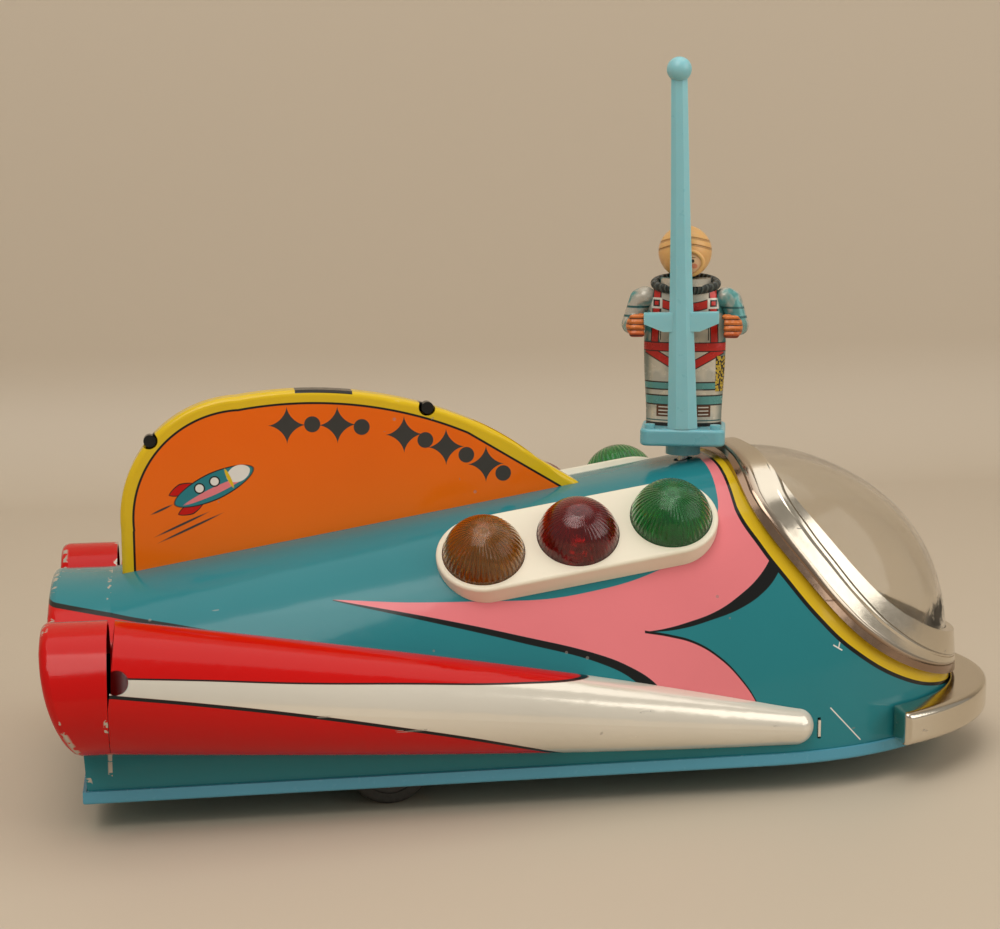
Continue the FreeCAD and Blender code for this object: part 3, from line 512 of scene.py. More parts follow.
def paintFin(tree, x, y, z):
    depth = finDepth(tree, x, z)
    low = calc(tree, "DIVIDE", minus(tree, fin["fadeTop"], z), fin["fadeDepth"], clamp=True)
    cloud = noise(tree, here(tree), 12.0)
    colour = mixColour(tree, times(tree, low, cloud), paints["orange"], paints["amberOrange"])
    colour = mixColour(tree, less(tree, depth, fin["rim"] + fin["line"]), colour, paints["black"])
    colour = mixColour(tree, less(tree, depth, fin["rim"]), colour, paints["yellow"])
    for place in fin["notches"]:
        colour = mixColour(tree, spot(tree, x, z, place, *fin["notch"]), colour, paints["black"])
    gap = both(tree, less(tree, depth, fin["gapDepth"]), block(tree, x, z, *fin["gap"]))
    colour = mixColour(tree, gap, colour, paints["black"])
    centre, radius = circleThrough(*fin["back"])
    ring = radius - fin["starDepth"]
    for i, lean in enumerate(fin["stars"]):
        angle = math.radians(90 - lean)
        place = (centre[0] + ring * math.cos(angle), centre[1] + ring * math.sin(angle))
        size = fin["starSize"] * (1.0 if i % 2 == 0 else fin["dotShare"])
        power = fin["starPower"] if i % 2 == 0 else 2.0
        colour = mixColour(tree, spot(tree, x, z, place, size, size, 0.0, power), colour, paints["ink"])
    return finPicture(tree, x, z, colour), None


def plainPaint(name):
    def paint(tree, x, y, z):
        cloud = noise(tree, here(tree), 18.0)
        return mixColour(tree, cloud, paints[name], tuple(v * 0.9 for v in paints[name])), None
    return paint


hullTin = printedTin("hullTin", paintHull)
podTin = printedTin("podTin", paintPod, wear=0.5)
capTin = printedTin("capTin", paintRearCap, wear=1.0)
finTin = printedTin("finTin", paintFin)
panPaint = printedTin("panPaint", plainPaint("panBlue"), wear=0.7, gloss=0.25)
creamEnamel = printedTin("creamEnamel", plainPaint("cream"), wear=0.25, gloss=0.22)

# the canopy ring: a strip rolled over at both edges, with a brown painted reflection along its hull side
ring = {"profile": [(0.0, 0.0), (0.08, 0.75), (0.2, 1.0), (0.32, 0.72), (0.72, 0.66), (0.86, 0.95), (1.0, 0.4)],
        "from": -0.2, "width": 6.6, "depth": 0.6, "lean": 0.75, "paintedReflectionWidth": 0.2, "paintedReflection": 0.75,
        "paintedReflectionColour": (0.20, 0.085, 0.035)}


def bareMetal(name, colour, wear, gloss):
    return plainTin(name, colour, wear, gloss, metallic=1.0, coat=0.0)


def ringMaterial():
    material = bareMetal("ringTin", (0.66, 0.60, 0.50), 0.8, 0.17)
    tree = material.node_tree
    shader, bump = nodeOf(tree, "BSDF_PRINCIPLED"), nodeOf(tree, "BUMP")
    x, y, z = inMillimetres(tree, here(tree))
    across = times(tree, minus(tree, x, curveThrough(tree, z, openingLine)), ring["lean"])
    share = calc(tree, "DIVIDE", minus(tree, across, ring["from"]), ring["width"], clamp=True)
    height = curveThrough(tree, share, ring["profile"])
    shape = add(tree, "Bump", {"Height": height, "Distance": ring["depth"] * mm})
    tree.links.new(shape.outputs[0], bump.inputs["Normal"])
    # a brown painted reflection on the ring's hull side, mixed into the metal's colour
    paintedReflection = times(tree, less(tree, share, ring["paintedReflectionWidth"], 0.3), ring["paintedReflection"])
    repaint(tree, shader, paintedReflection, ring["paintedReflectionColour"])
    return material


nickelPlate = bareMetal("nickelPlate", (0.66, 0.60, 0.50), 0.5, 0.17)
brightTin = bareMetal("brightTin", (0.55, 0.54, 0.52), 0.2, 0.32)
steelRod = bareMetal("steelRod", (0.45, 0.45, 0.46), 0.2, 0.25)
brassStrip = bareMetal("brassStrip", (0.65, 0.43, 0.16), 0.2, 0.28)
deckPaint = plainTin("deckPaint", (0.36, 0.30, 0.22), wear=0.4, gloss=0.4, metallic=0.3)
jacketPaint = plainTin("jacketPaint", (0.09, 0.10, 0.13), wear=0.2, gloss=0.3)
fibreBoard = moulded("fibreBoard", (0.25, 0.17, 0.10), grain=900.0, roughness=0.75)
bluePlastic = moulded("bluePlastic", (0.17, 0.46, 0.53), grain=300.0, roughness=0.3, dust=0.15, subsurface=0.6)
mastPlastic = moulded("mastPlastic", (0.27, 0.58, 0.64), grain=300.0, roughness=0.32, dust=0.1, subsurface=0.6)
tyreRubber = moulded("tyreRubber", (0.022, 0.021, 0.020), grain=900.0, roughness=0.7, dust=0.3)
wheelPlastic = moulded("wheelPlastic", (0.035, 0.034, 0.033), grain=600.0, roughness=0.45, dust=0.2)
gearPlastic = moulded("gearPlastic", (0.62, 0.58, 0.47), grain=500.0, roughness=0.4)
silverTin = printedTin("silverTin", plainPaint("silver"), wear=0.2)


def clearPlastic(name, colour, roughness=0.05, haze=0.0, ior=1.47):
    material, tree, shader = startMaterial(name)
    smear = noise(tree, here(tree), 70.0, 4.0)
    tint = mixColour(tree, times(tree, smear, 0.25), colour, tuple(v * 0.8 for v in colour))
    setValues(shader, {"Transmission Weight": 1.0 - haze, "IOR": ior, "Base Color": tint,
                       "Roughness": plus(tree, times(tree, smear, 0.1), roughness)})
    return material


# the signal lenses stand on a plate that leans out and climbs with the spine
lamps = {"middle": (5.4, 27.6, 62.6), "tilt": 38.0, "climb": 9.2, "pitch": 23.2, "flutes": 44,
         "fluteDepth": {"amber": 0.10, "red": 0.03, "green": 0.10}, "crown": 1.2, "fluteFade": 4.0,
         "colours": {"amber": (0.86, 0.36, 0.02), "red": (0.50, 0.010, 0.016), "green": (0.015, 0.60, 0.13)}}


def lampFrame(side, along=0.0):
    x, y, z = (v * mm for v in lamps["middle"])
    turn = Matrix.Rotation(math.radians(-lamps["climb"]), 4, "Y") @ \
        Matrix.Rotation(math.radians(-lamps["tilt"] * side), 4, "X")
    return Matrix.Translation((x, y * side, z)) @ turn @ Matrix.Translation((along * mm, 0, 0))


# moulded flutes run from the lens's rim up to its crown
def lensMaterial(name, colour, frameOf, depth):
    material = clearPlastic(name, colour, 0.02, haze=0.1)
    tree = material.node_tree
    shader = setValues(nodeOf(tree, "BSDF_PRINCIPLED"), {"Coat Weight": 0.25, "Coat Roughness": 0.05})
    x, y, z = placeIn(tree, frameOf)
    angle = calc(tree, "ARCTAN2", y, x)
    away = calc(tree, "SQRT", plus(tree, times(tree, x, x), times(tree, y, y)))
    wave = calc(tree, "SINE", times(tree, angle, lamps["flutes"]))
    fade = calc(tree, "DIVIDE", minus(tree, away, lamps["crown"]), lamps["fluteFade"], clamp=True)
    bumpFrom(tree, shader, times(tree, wave, fade), depth * mm)
    return material


lensPlastic = {}
for sideName, side in (("left", 1), ("right", -1)):
    for i, (colourName, colour) in enumerate(lamps["colours"].items()):
        lensPlastic[sideName + "_" + colourName + "_lens"] = lensMaterial(
            sideName + colourName.capitalize() + "Lens", colour, lampFrame(side, lamps["pitch"] * (i - 1)),
            lamps["fluteDepth"][colourName])

# a dark smudge low on the canopy's nose, darker and rougher in patches
canopySmudge = {"place": (-17.0, 36.5), "size": (7.0, 3.0), "lean": 0.2, "softness": 1.5, "level": 0.46,
         "colour": (0.03, 0.028, 0.02)}


def smudgeCanopy(material):
    tree = material.node_tree
    shader = nodeOf(tree, "BSDF_PRINCIPLED")
    x, y, z = inMillimetres(tree, here(tree))
    area = spot(tree, y, z, canopySmudge["place"], *canopySmudge["size"], canopySmudge["lean"], 2.0, canopySmudge["softness"])
    dark = both(tree, area, above(tree, noise(tree, here(tree), 330.0, 5.0), canopySmudge["level"]))
    repaint(tree, shader, times(tree, dark, 0.85), canopySmudge["colour"])
    rough = shader.inputs["Roughness"].links[0].from_socket
    tree.links.new(plus(tree, rough, times(tree, dark, 0.5), clamp=True), shader.inputs["Roughness"])
    return material


canopyPlastic = clearPlastic("canopyPlastic", (0.93, 0.90, 0.84), 0.02, haze=0.03, ior=1.25)
bulbGlass = clearPlastic("bulbGlass", (0.95, 0.93, 0.88), 0.02)

cadFinish = {
    "hull_shell": hullTin, "rear_cap": capTin, "base_pan": panPaint, "battery_door": panPaint,
    "canopy_ring": ringMaterial(),
    "canopy_dome": smudgeCanopy(canopyPlastic), "cockpit_deck": deckPaint, "bumper": nickelPlate,
    "battery_box": fibreBoard,
    "battery_cells": jacketPaint, "contact_leaves": brassStrip, "door_hinge_pin": steelRod,
    "switch_knob": wheelPlastic, "switch_blade": brassStrip, "motor_can": brightTin, "motor_cap": fibreBoard,
    "motor_shaft": steelRod, "motor_pinion": brassStrip, "lower_gear_plate": brightTin,
    "upper_gear_plate": brightTin, "frame_supports": brightTin, "idler_shaft": steelRod,
    "idler_gear": gearPlastic, "idler_pinion": brassStrip, "spindle": steelRod, "spindle_gear": gearPlastic,
    "crown_pinion": brassStrip,
    "bearing_tube": brightTin, "turret_bracket": brightTin, "drive_axle": steelRod, "crown_gear": gearPlastic,
    "drive_rims": wheelPlastic, "drive_tyres": tyreRubber, "rear_axle": steelRod, "rear_rims": wheelPlastic,
    "rear_tyres": tyreRubber, "rear_axle_bracket": brightTin, "stand": bluePlastic, "mast": mastPlastic,
    "astronaut_left_arm": silverTin, "astronaut_right_arm": silverTin, "astronaut_head": silverTin,
}
cadFinish.update(lensPlastic)
for side in ("left", "right"):
    cadFinish.update({side + "_pod": podTin, side + "_fin_half": finTin, side + "_lamp_plate": creamEnamel,
                      side + "_bulb": bulbGlass, side + "_bulb_socket": brassStrip})


def finishNodes(finishes):
    for name, material in finishes.items():
        nodes[name].data.materials.clear()
        nodes[name].data.materials.append(material)


finishNodes(cadFinish)
print("finishes on the CAD nodes")

# the astronaut, built facing the front of the stand and then turned with it
rider = {"heading": 17.0, "spindle": 38.5, "waist": 104.3, "headCentre": (-0.3, 2.2, 127.9), "headRadius": 6.7,
         "faceCentre": (0.5, -3.9, 125.4), "faceHalf": (3.9, 3.2), "faceLean": 12.0,
         "collarHeight": 120.0, "collarHalf": (7.7, 4.9),
         "collarThick": 1.15, "collarLean": 17.0, "shoulder": (11.4, 1.2, 115.9), "elbow": (13.6, 0.6, 109.6),
         "hand": (12.2, -5.3, 109.8), "sleeve": 2.75, "wristShare": 0.72, "palm": (2.35, 2.5, 2.9),
         "knuckles": 4, "knucklePitch": 1.35, "knuckle": 0.78}
riderFrame = Matrix.Translation((rider["spindle"] * mm, 0, 0)) @ \
    Matrix.Rotation(math.radians(-rider["heading"]), 4, "Z")
suitPaints = {"silver": (0.47, 0.44, 0.37), "teal": (0.09, 0.29, 0.28), "darkTeal": (0.03, 0.11, 0.11),
              "red": (0.55, 0.02, 0.012), "black": (0.012, 0.010, 0.009), "brown": (0.10, 0.035, 0.015),
              "yellow": (0.55, 0.38, 0.03), "white": (0.72, 0.68, 0.60), "cream": (0.62, 0.55, 0.44)}


def layer(tree, colour, mask, name):
    return mixColour(tree, mask, colour, suitPaints[name])


# folds pressed and printed in the cloth: 1 on the tops, 0 in the hollows
def foldsOf(tree, scale, level):
    folds = noise(tree, here(tree), scale)
    return folds, times(tree, minus(tree, folds, level), 9.0, clamp=True)


# a red shape(half) with a black edge
def edged(tree, colour, shape, half):
    colour = layer(tree, colour, shape(half + suitPrint["edge"]), "black")
    return layer(tree, colour, shape(half), "red")


# the printed suit: harness, belt, leg straps, knee bands, laces and soles, the same front and back
suitPrint = {"edge": 0.25, "hollows": 0.44, "flank": 8.6, "legTop": 99.0, "legGap": 0.5, "legShine": 1.5,
             "bands": ((93.7, 95.2), (89.8, 91.8)), "bandEdge": 0.35, "boot": 5.0, "laceHalf": 1.8,
             "laceHeights": (86.6, 89.5), "laceRows": (87.2, 88.1, 89.0), "rowHalf": 1.3,
             "soleLine": (85.5, 85.8), "sole": 85.1, "seam": 6.0, "seamHeights": (106.0, 118.0),
             "harness": ((7.5, 105.0), (6.9, 119.5)),
             "harnessHalf": 0.8, "buckle": (7.1, 115.25),
             "buckleHalves": ((1.35, "white"), (0.85, "black"), (0.5, "red")),
             "legStrap": ((9.4, 103.6), (0.0, 98.4)), "legStrapHalf": 0.9, "chest": 114.2, "chestHalf": 5.6,
             "beltHalf": 0.95, "sag": 0.03, "pocket": (7.9, 11.0, 93.0, 102.0), "pocketCells": 0.42}


def printLegs(tree, colour, x, z, aside):
    leg = less(tree, z, suitPrint["legTop"])
    gap = less(tree, aside, suitPrint["legGap"])
    colour = layer(tree, colour, both(tree, leg, gap), "black")
    shine = both(tree, leg, less(tree, aside, suitPrint["legShine"], 1.0), opposite(tree, gap))
    colour = layer(tree, colour, shine, "silver")
    for foot, top in suitPrint["bands"]:
        outline = between(tree, foot - suitPrint["bandEdge"], z, top + suitPrint["bandEdge"])
        colour = layer(tree, colour, outline, "black")
        colour = layer(tree, colour, between(tree, foot, z, top), "teal")
    for middle in (-suitPrint["boot"], suitPrint["boot"]):
        half, row = suitPrint["laceHalf"], suitPrint["rowHalf"]
        lace = block(tree, x, z, middle - half, middle + half, *suitPrint["laceHeights"])
        colour = layer(tree, colour, lace, "brown")
        for height in suitPrint["laceRows"]:
            line = block(tree, x, z, middle - row, middle + row, height - 0.12, height + 0.14)
            colour = layer(tree, colour, line, "white")
    low, high = suitPrint["soleLine"]
    colour = layer(tree, colour, between(tree, low, z, high), "darkTeal")
    return layer(tree, colour, less(tree, z, suitPrint["sole"]), "black")


def printChest(tree, colour, x, z, aside):
    for side in (-1, 1):
        seam = suitPrint["seam"] * side
        line = block(tree, x, z, seam - 0.12, seam + 0.12, *suitPrint["seamHeights"])
        colour = layer(tree, colour, line, "black")
        ends = [(side * p[0], p[1]) for p in suitPrint["harness"]]
        colour = edged(tree, colour, lambda half: strap(tree, x, z, *ends, half), suitPrint["harnessHalf"])
        bx, bz = suitPrint["buckle"][0] * side, suitPrint["buckle"][1]
        for half, name in suitPrint["buckleHalves"]:
            colour = layer(tree, colour, block(tree, x, z, bx - half, bx + half, bz - half, bz + half), name)
        legEnds = [(side * p[0], p[1]) for p in suitPrint["legStrap"]]
        colour = edged(tree, colour, lambda half: strap(tree, x, z, *legEnds, half), suitPrint["legStrapHalf"])
    hung = minus(tree, z, times(tree, times(tree, aside, aside), suitPrint["sag"]))
    width, height, waist = suitPrint["chestHalf"], suitPrint["chest"], rider["waist"]
    colour = edged(tree, colour, lambda half: block(tree, x, hung, -width, width, height - half, height + half),
                   suitPrint["beltHalf"])
    return edged(tree, colour, lambda half: between(tree, waist - half, z, waist + half), suitPrint["beltHalf"])


def makeSuit():
    material, tree, shader = startMaterial("suitTin")
    x, y, z = placeIn(tree, riderFrame)
    aside = calc(tree, "ABSOLUTE", x)
    folds, fold = foldsOf(tree, 150.0, 0.47)
    colour = mixColour(tree, fold, suitPaints["cream"], suitPaints["silver"])
    hollows = both(tree, less(tree, rider["waist"], z), less(tree, folds, suitPrint["hollows"], 0.02))
    colour = layer(tree, colour, hollows, "teal")
    colour = layer(tree, colour, times(tree, less(tree, suitPrint["flank"], aside, 1.4), 0.65), "darkTeal")
    colour = printLegs(tree, colour, x, z, aside)
    colour = printChest(tree, colour, x, z, aside)
    # the mesh pocket on one hip
    pocket = both(tree, block(tree, x, z, *suitPrint["pocket"]),
                  opposite(tree, less(tree, aside, suitPrint["pocket"][0])))
    cells = add(tree, "TexVoronoi", {"Vector": here(tree), "Scale": 1500.0}, distance="CHEBYCHEV")
    mesh = calc(tree, "LESS_THAN", cells.outputs["Distance"], suitPrint["pocketCells"])
    colour = layer(tree, colour, pocket, "black")
    colour = layer(tree, colour, both(tree, pocket, mesh), "yellow")
    finish = useGroup(tree, tinFinish, Colour=colour, Wear=0.5, Gloss=0.26)
    finishFrom(tree, shader, finish)
    setValues(shader, {"Metallic": 0.15, "Coat Weight": 0.2})
    bumpFrom(tree, shader, plus(tree, times(tree, fold, 0.5), finish.outputs["Height"]), 0.00022)
    return material


sleevePrint = {"bands": (111.6, 113.9), "bandWidth": 0.55, "cuff": 107.9}


def makeSleeve():
    material, tree, shader = startMaterial("sleeveTin")
    x, y, z = placeIn(tree, riderFrame)
    _, fold = foldsOf(tree, 210.0, 0.45)
    colour = mixColour(tree, fold, suitPaints["teal"], suitPaints["silver"])
    for height in sleevePrint["bands"]:
        colour = layer(tree, colour, between(tree, height, z, height + sleevePrint["bandWidth"]), "darkTeal")
    colour = layer(tree, colour, less(tree, z, sleevePrint["cuff"], 1.2), "darkTeal")
    finish = useGroup(tree, tinFinish, Colour=colour, Wear=0.5, Gloss=0.26)
    finishFrom(tree, shader, finish)
    setValues(shader, {"Metallic": 0.15})
    bumpFrom(tree, shader, plus(tree, fold, finish.outputs["Height"]), 0.0002)
    return material


gloves = {"fingers": 4.4, "crease": 0.86, "front": -5.2, "shadeFrom": 109.2, "shadeDepth": 2.4,
          "colours": ((0.72, 0.20, 0.04), (0.45, 0.02, 0.01), (0.05, 0.01, 0.006))}


def makeGlove():
    material, tree, shader = startMaterial("gloveTin")
    x, y, z = placeIn(tree, riderFrame)
    light, shade, crease = gloves["colours"]
    fingers = calc(tree, "SINE", times(tree, z, gloves["fingers"]))
    low = calc(tree, "DIVIDE", minus(tree, gloves["shadeFrom"], z), gloves["shadeDepth"], clamp=True)
    colour = mixColour(tree, low, light, shade)
    creases = both(tree, less(tree, y, gloves["front"], 0.4), above(tree, fingers, gloves["crease"]))
    colour = mixColour(tree, creases, colour, crease)
    finishFrom(tree, shader, useGroup(tree, tinFinish, Colour=colour, Wear=0.3, Gloss=0.28))
    bumpFrom(tree, shader, minus(tree, 0.0, fingers), 0.0002)
    return material


def makeCollarPaint():
    material, tree, shader = startMaterial("collarPaint")
    x, y, z = placeIn(tree, riderFrame)
    pleats = calc(tree, "SINE", times(tree, calc(tree, "ARCTAN2", y, x), 34.0))
    colour = mixColour(tree, plus(tree, times(tree, pleats, 0.5), 0.5, clamp=True),
                       (0.018, 0.022, 0.020), (0.075, 0.085, 0.075))
    finishFrom(tree, shader, useGroup(tree, tinFinish, Colour=colour, Wear=0.4, Gloss=0.34))
    bumpFrom(tree, shader, pleats, 0.0002)
    return material


# the helmet has two seams over the brow
seams = {"heights": (130.0, 131.7), "half": 0.22, "bow": -0.035, "front": 2.0, "colour": (0.30, 0.13, 0.04)}


def makeHelmetPlastic():
    material = moulded("helmetPlastic", (0.76, 0.43, 0.15), grain=400.0, roughness=0.36, dust=0.12,
                       subsurface=0.15)
    tree = material.node_tree
    x, y, z = placeIn(tree, riderFrame)
    arc = minus(tree, z, times(tree, times(tree, x, x), seams["bow"]))
    half, front = seams["half"], less(tree, y, seams["front"])
    lines = either(tree, *[
        both(tree, less(tree, height - half, arc, 0.2), less(tree, arc, height + half, 0.2), front)
        for height in seams["heights"]])
    repaint(tree, nodeOf(tree, "BSDF_PRINCIPLED"), times(tree, lines, 0.6), seams["colour"])
    bump = nodeOf(tree, "BUMP")
    groove = add(tree, "Bump", {"Height": minus(tree, 0.0, lines), "Distance": 0.0004})
    tree.links.new(groove.outputs[0], bump.inputs["Normal"])
    return material


# the face is plain and calm: cheeks, eyes, brows and mouth as places from its middle, sizes and colours
features = ((1.75, -0.7, 0.75, 0.6, (0.74, 0.25, 0.14)), (1.35, 0.55, 0.36, 0.44, (0.02, 0.015, 0.01)),
            (1.35, 1.45, 0.62, 0.11, (0.16, 0.07, 0.03)), (0.0, -1.35, 0.72, 0.14, (0.42, 0.06, 0.04)))


def makeFacePaint():
    material = moulded("facePaint", (0.80, 0.52, 0.30), grain=500.0, roughness=0.45, dust=0.05, subsurface=0.2)
    tree = material.node_tree
    shader = nodeOf(tree, "BSDF_PRINCIPLED")
    x, y, z = placeIn(tree, riderFrame)
    cx, cz = rider["faceCentre"][0], rider["faceCentre"][2]
    for across, up, a, b, paint in features:
        for side in (-1, 1) if across else (1,):
            repaint(tree, shader, spot(tree, x, z, (cx + side * across, cz + up), a, b), paint)
    return material


def inRider(point):
    return riderFrame @ Vector([v * mm for v in point])


# a rounded limb between two points, its ends closed by balls
def addLimb(bm, a, b, radiusA, radiusB):
    start, end = inRider(a), inRider(b)
    turn = (end - start).to_track_quat("Z", "Y").to_matrix().to_4x4()
    middle = Matrix.Translation((start + end) / 2) @ turn
    bmesh.ops.create_cone(bm, cap_ends=True, segments=24, radius1=radiusA * mm, radius2=radiusB * mm,
                          depth=(end - start).length, matrix=middle)
    for centre, radius in ((start, radiusA), (end, radiusB)):
        bmesh.ops.create_uvsphere(bm, u_segments=24, v_segments=16, radius=radius * mm,
                                  matrix=Matrix.Translation(centre))


def addBall(bm, centre, size, lean=0.0):
    place = riderFrame @ Matrix.Translation([v * mm for v in centre]) @ \
        Matrix.Rotation(math.radians(lean), 4, "X") @ Matrix.Diagonal([v * mm for v in size] + [1])
    bmesh.ops.create_uvsphere(bm, u_segments=40, v_segments=24, radius=1.0, matrix=place)


# a ring of round stock, oval in plan
def addRing(bm, centre, half, thick, lean, upright=False):
    start = Matrix.Translation((half[0] * mm, 0, 0)) @ Matrix.Rotation(math.pi / 2, 4, "X")
    circle = bmesh.ops.create_circle(bm, segments=20, radius=thick * mm, matrix=start)
    edges = list({e for v in circle["verts"] for e in v.link_edges})
    bmesh.ops.spin(bm, geom=circle["verts"] + edges, cent=(0, 0, 0), axis=(0, 0, 1), angle=2 * math.pi,
                   steps=56, use_merge=True, use_duplicate=False)
    verts = list(bm.verts)
    bmesh.ops.scale(bm, vec=(1, half[1] / half[0], 1), verts=verts)
    turn = Matrix.Rotation(math.radians(lean + (90 if upright else 0)), 4, "X")
    place = riderFrame @ Matrix.Translation([v * mm for v in centre]) @ turn
    bmesh.ops.transform(bm, matrix=place, verts=verts)
    bmesh.ops.remove_doubles(bm, verts=list(bm.verts), dist=1e-7)
    bmesh.ops.recalc_face_normals(bm, faces=list(bm.faces))


def finishPiece(name, bm, material, body, replaced=(), fused=0.0):
    mesh = bpy.data.meshes.new(name)
    bm.to_mesh(mesh)
    bm.free()
    for face in mesh.polygons:
        face.use_smooth = True
    piece = bpy.data.objects.new(name, mesh)
    bpy.context.scene.collection.objects.link(piece)
    mesh.materials.append(material)
    if fused:
        remesh = piece.modifiers.new("fuse", "REMESH")
        remesh.mode = "VOXEL"
        remesh.voxel_size = fused * mm
        remesh.use_smooth_shade = True
        smooth = piece.modifiers.new("smooth", "SMOOTH")
        smooth.factor = 0.5
        smooth.iterations = 4
    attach(piece, body)
    if replaced:
        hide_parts(*replaced)
    return piece


# the bumper's pressed corners are rounder than a plain fillet leaves them
def roundBumper():
    bm = bmesh.new()
    bm.from_mesh(nodes["bumper"].data)
    bmesh.ops.remove_doubles(bm, verts=list(bm.verts), dist=1e-6)
    piece = finishPiece("roundedBumper", bm, nickelPlate, "rocket", ("bumper",), 0.45)
    piece.modifiers["smooth"].iterations = 6
    print("the bumper")


roundBumper()


def makeArm(side, name, sleeve, glove):
    shoulder, elbow, hand = [(side * rider[part][0], *rider[part][1:]) for part in ("shoulder", "elbow", "hand")]
    wrist = tuple(e + (h - e) * rider["wristShare"] for e, h in zip(elbow, hand))
    bm = bmesh.new()
    addLimb(bm, shoulder, elbow, rider["sleeve"], rider["sleeve"] - 0.3)
    addLimb(bm, elbow, wrist, rider["sleeve"] - 0.35, rider["sleeve"] - 0.55)
    addBall(bm, (shoulder[0] - side * 1.2, 1.2, shoulder[2] + 0.4), (3.0, 2.9, 2.9))
    finishPiece("rider" + name + "Arm", bm, sleeve, "figure_stand",
                ("astronaut_" + name.lower() + "_arm",), 0.32)
    bm = bmesh.new()
    addBall(bm, hand, rider["palm"])
    for i in range(rider["knuckles"]):
        kx, ky, kz = hand[0] - side * 0.5, hand[1] - 1.7, hand[2] + 2.1 - i * rider["knucklePitch"]
        addLimb(bm, (kx - 1.2, ky, kz), (kx + 1.2, ky + 0.3, kz), rider["knuckle"], rider["knuckle"])
    thumb = (hand[0] - side * 2.2, hand[1] - 0.8, hand[2] + 2.4)
    addLimb(bm, (hand[0] - side * 1.2, hand[1] + 0.4, hand[2] + 2.2), thumb, 0.9, 0.75)
    finishPiece("rider" + name + "Glove", bm, glove, "figure_stand", (), 0.24)


def makeRider():
    sleeve, glove = makeSleeve(), makeGlove()
    makeArm(1, "Left", sleeve, glove)
    makeArm(-1, "Right", sleeve, glove)
    helmet = makeHelmetPlastic()
    bm = bmesh.new()
    radius = rider["headRadius"]
    addBall(bm, rider["headCentre"], (radius, radius, radius * 0.99))
    finishPiece("helmet", bm, helmet, "figure_stand", ("astronaut_head",))
    bm = bmesh.new()
    addRing(bm, rider["faceCentre"], rider["faceHalf"], 0.55, rider["faceLean"], upright=True)
    finishPiece("faceOpeningRim", bm, helmet, "figure_stand")
    bm = bmesh.new()
    fx, fy, fz = rider["faceCentre"]
    addBall(bm, (fx, fy + 0.6, fz), (rider["faceHalf"][0], 1.25, rider["faceHalf"][1]), rider["faceLean"])
    addBall(bm, (fx, fy - 0.55, fz - 0.2), (0.5, 0.42, 0.5))
    finishPiece("face", bm, makeFacePaint(), "figure_stand")
    bm = bmesh.new()
    addRing(bm, (0, 1.0, rider["collarHeight"]), rider["collarHalf"], rider["collarThick"], rider["collarLean"])
    finishPiece("neckRing", bm, makeCollarPaint(), "figure_stand")
    print("the astronaut")


makeRider()
suit = makeSuit()
finishNodes({"astronaut_front": suit, "astronaut_back": suit})

# studio: a pale floor that runs up into a pale wall, one large soft light and a fill
room = {"floorSize": 1.6, "wallDistance": 0.42, "wallHeight": 1.2, "keyPower": 5.5, "fillPower": 2.9,
        "sky": 0.42}


def studioPaint():
    material, tree, shader = startMaterial("studioPaint")
    colour = mixColour(tree, noise(tree, here(tree), 3.0), (0.575, 0.490, 0.385), (0.550, 0.465, 0.360))
    setValues(shader, {"Base Color": colour, "Roughness": 0.55})
    # from behind, the wall is clear, so that the back of the rocket can be seen
    out = nodeOf(tree, "OUTPUT_MATERIAL")
    clear = tree.nodes.new("ShaderNodeBsdfTransparent")
    pick = tree.nodes.new("ShaderNodeMixShader")
    tree.links.new(add(tree, "NewGeometry").outputs["Backfacing"], pick.inputs[0])
    tree.links.new(shader.outputs[0], pick.inputs[1])
    tree.links.new(clear.outputs[0], pick.inputs[2])
    tree.links.new(pick.outputs[0], out.inputs[0])
    return material


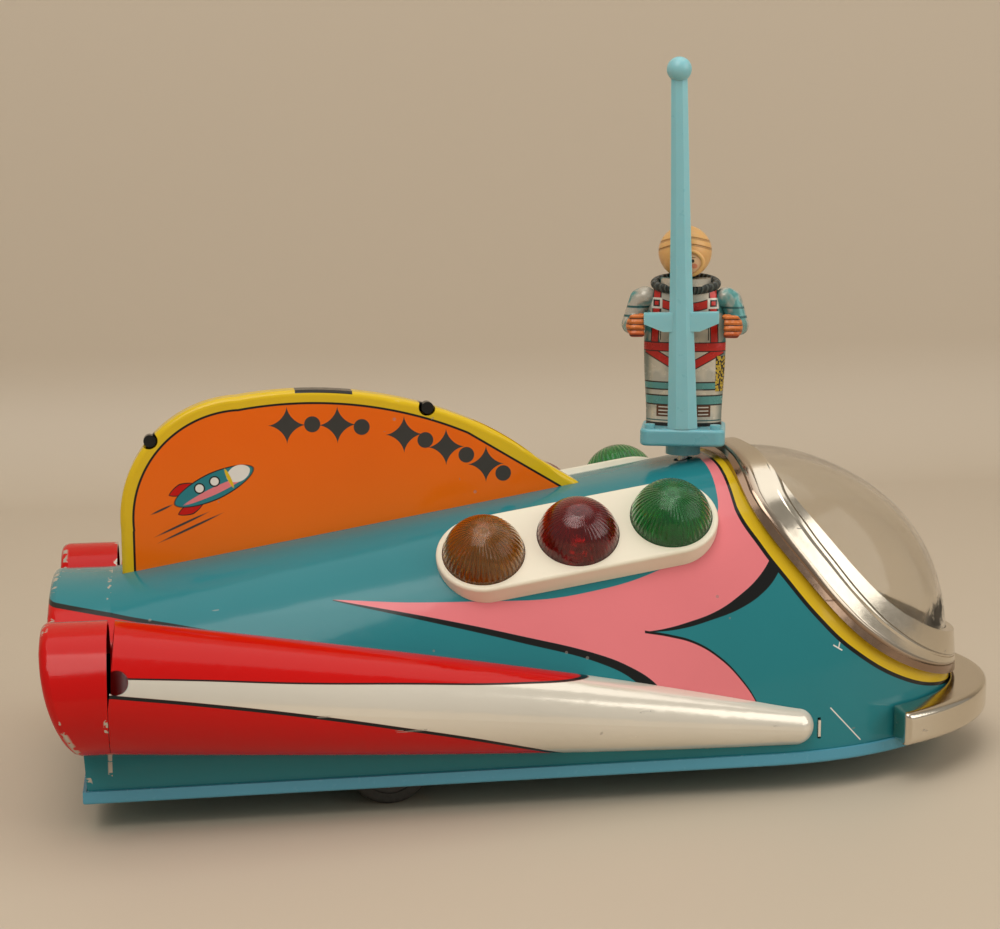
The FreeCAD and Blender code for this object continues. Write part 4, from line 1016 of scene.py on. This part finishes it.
def makeStudio():
    bm = bmesh.new()
    size = room["floorSize"]
    bmesh.ops.create_grid(bm, x_segments=1, y_segments=1, size=size)
    bmesh.ops.translate(bm, vec=(0, -size + room["wallDistance"], 0), verts=bm.verts)
    farEdge = [e for e in bm.edges if min(v.co.y for v in e.verts) > room["wallDistance"] - 0.001]
    raised = bmesh.ops.extrude_edge_only(bm, edges=farEdge)
    top = [v for v in raised["geom"] if isinstance(v, bmesh.types.BMVert)]
    bmesh.ops.translate(bm, vec=(0, 0.02, room["wallHeight"]), verts=top)
    bmesh.ops.bevel(bm, geom=farEdge, offset=0.06, segments=8, profile=0.5, affect="EDGES", material=-1)
    bmesh.ops.recalc_face_normals(bm, faces=list(bm.faces))
    if sum(f.normal.z for f in bm.faces) < 0:
        bmesh.ops.reverse_faces(bm, faces=list(bm.faces))
    mesh = bpy.data.meshes.new("studioFloor")
    bm.to_mesh(mesh)
    bm.free()
    floor = bpy.data.objects.new("studioFloor", mesh)
    bpy.context.scene.collection.objects.link(floor)
    for face in mesh.polygons:
        face.use_smooth = True
    mesh.materials.append(studioPaint())
    for name, power, place, target, size in (
            ("keyLight", room["keyPower"], (-0.35, -0.55, 0.95), (0, 0, 0.03), 0.7),
            ("fillLight", room["fillPower"], (0.8, -0.5, 0.5), (0, 0, 0.05), 0.7),
            ("topLight", room["fillPower"], (0.1, 0.05, 1.0), (0, 0, 0), 0.9)):
        data = bpy.data.lights.new(name, "AREA")
        data.energy = power
        data.size = size
        data.color = (1.0, 0.97, 0.92)
        light = bpy.data.objects.new(name, data)
        light.location = place
        light.rotation_euler = (Vector(target) - Vector(place)).to_track_quat("-Z", "Y").to_euler()
        bpy.context.scene.collection.objects.link(light)
    world = bpy.data.worlds.new("softRoom")
    world.use_nodes = True
    world.node_tree.nodes["Background"].inputs[0].default_value = (0.80, 0.75, 0.67, 1)
    world.node_tree.nodes["Background"].inputs[1].default_value = room["sky"]
    bpy.context.scene.world = world
    bpy.context.scene.view_settings.view_transform = "Standard"


cameraAt = {"place": (-0.0881, -0.4638, 0.154), "heading": 9.7, "pitch": 9.5, "lens": 68.4}


def makeCamera():
    data = bpy.data.cameras.new("camera")
    data.lens = cameraAt["lens"]
    data.sensor_width = 36.0
    data.clip_start = 0.01
    camera = bpy.data.objects.new("camera", data)
    camera.location = cameraAt["place"]
    camera.rotation_euler = (math.radians(90 - cameraAt["pitch"]), 0, math.radians(-cameraAt["heading"]))
    bpy.context.scene.collection.objects.link(camera)
    bpy.context.scene.camera = camera


makeStudio()
makeCamera()
print("studio and camera")
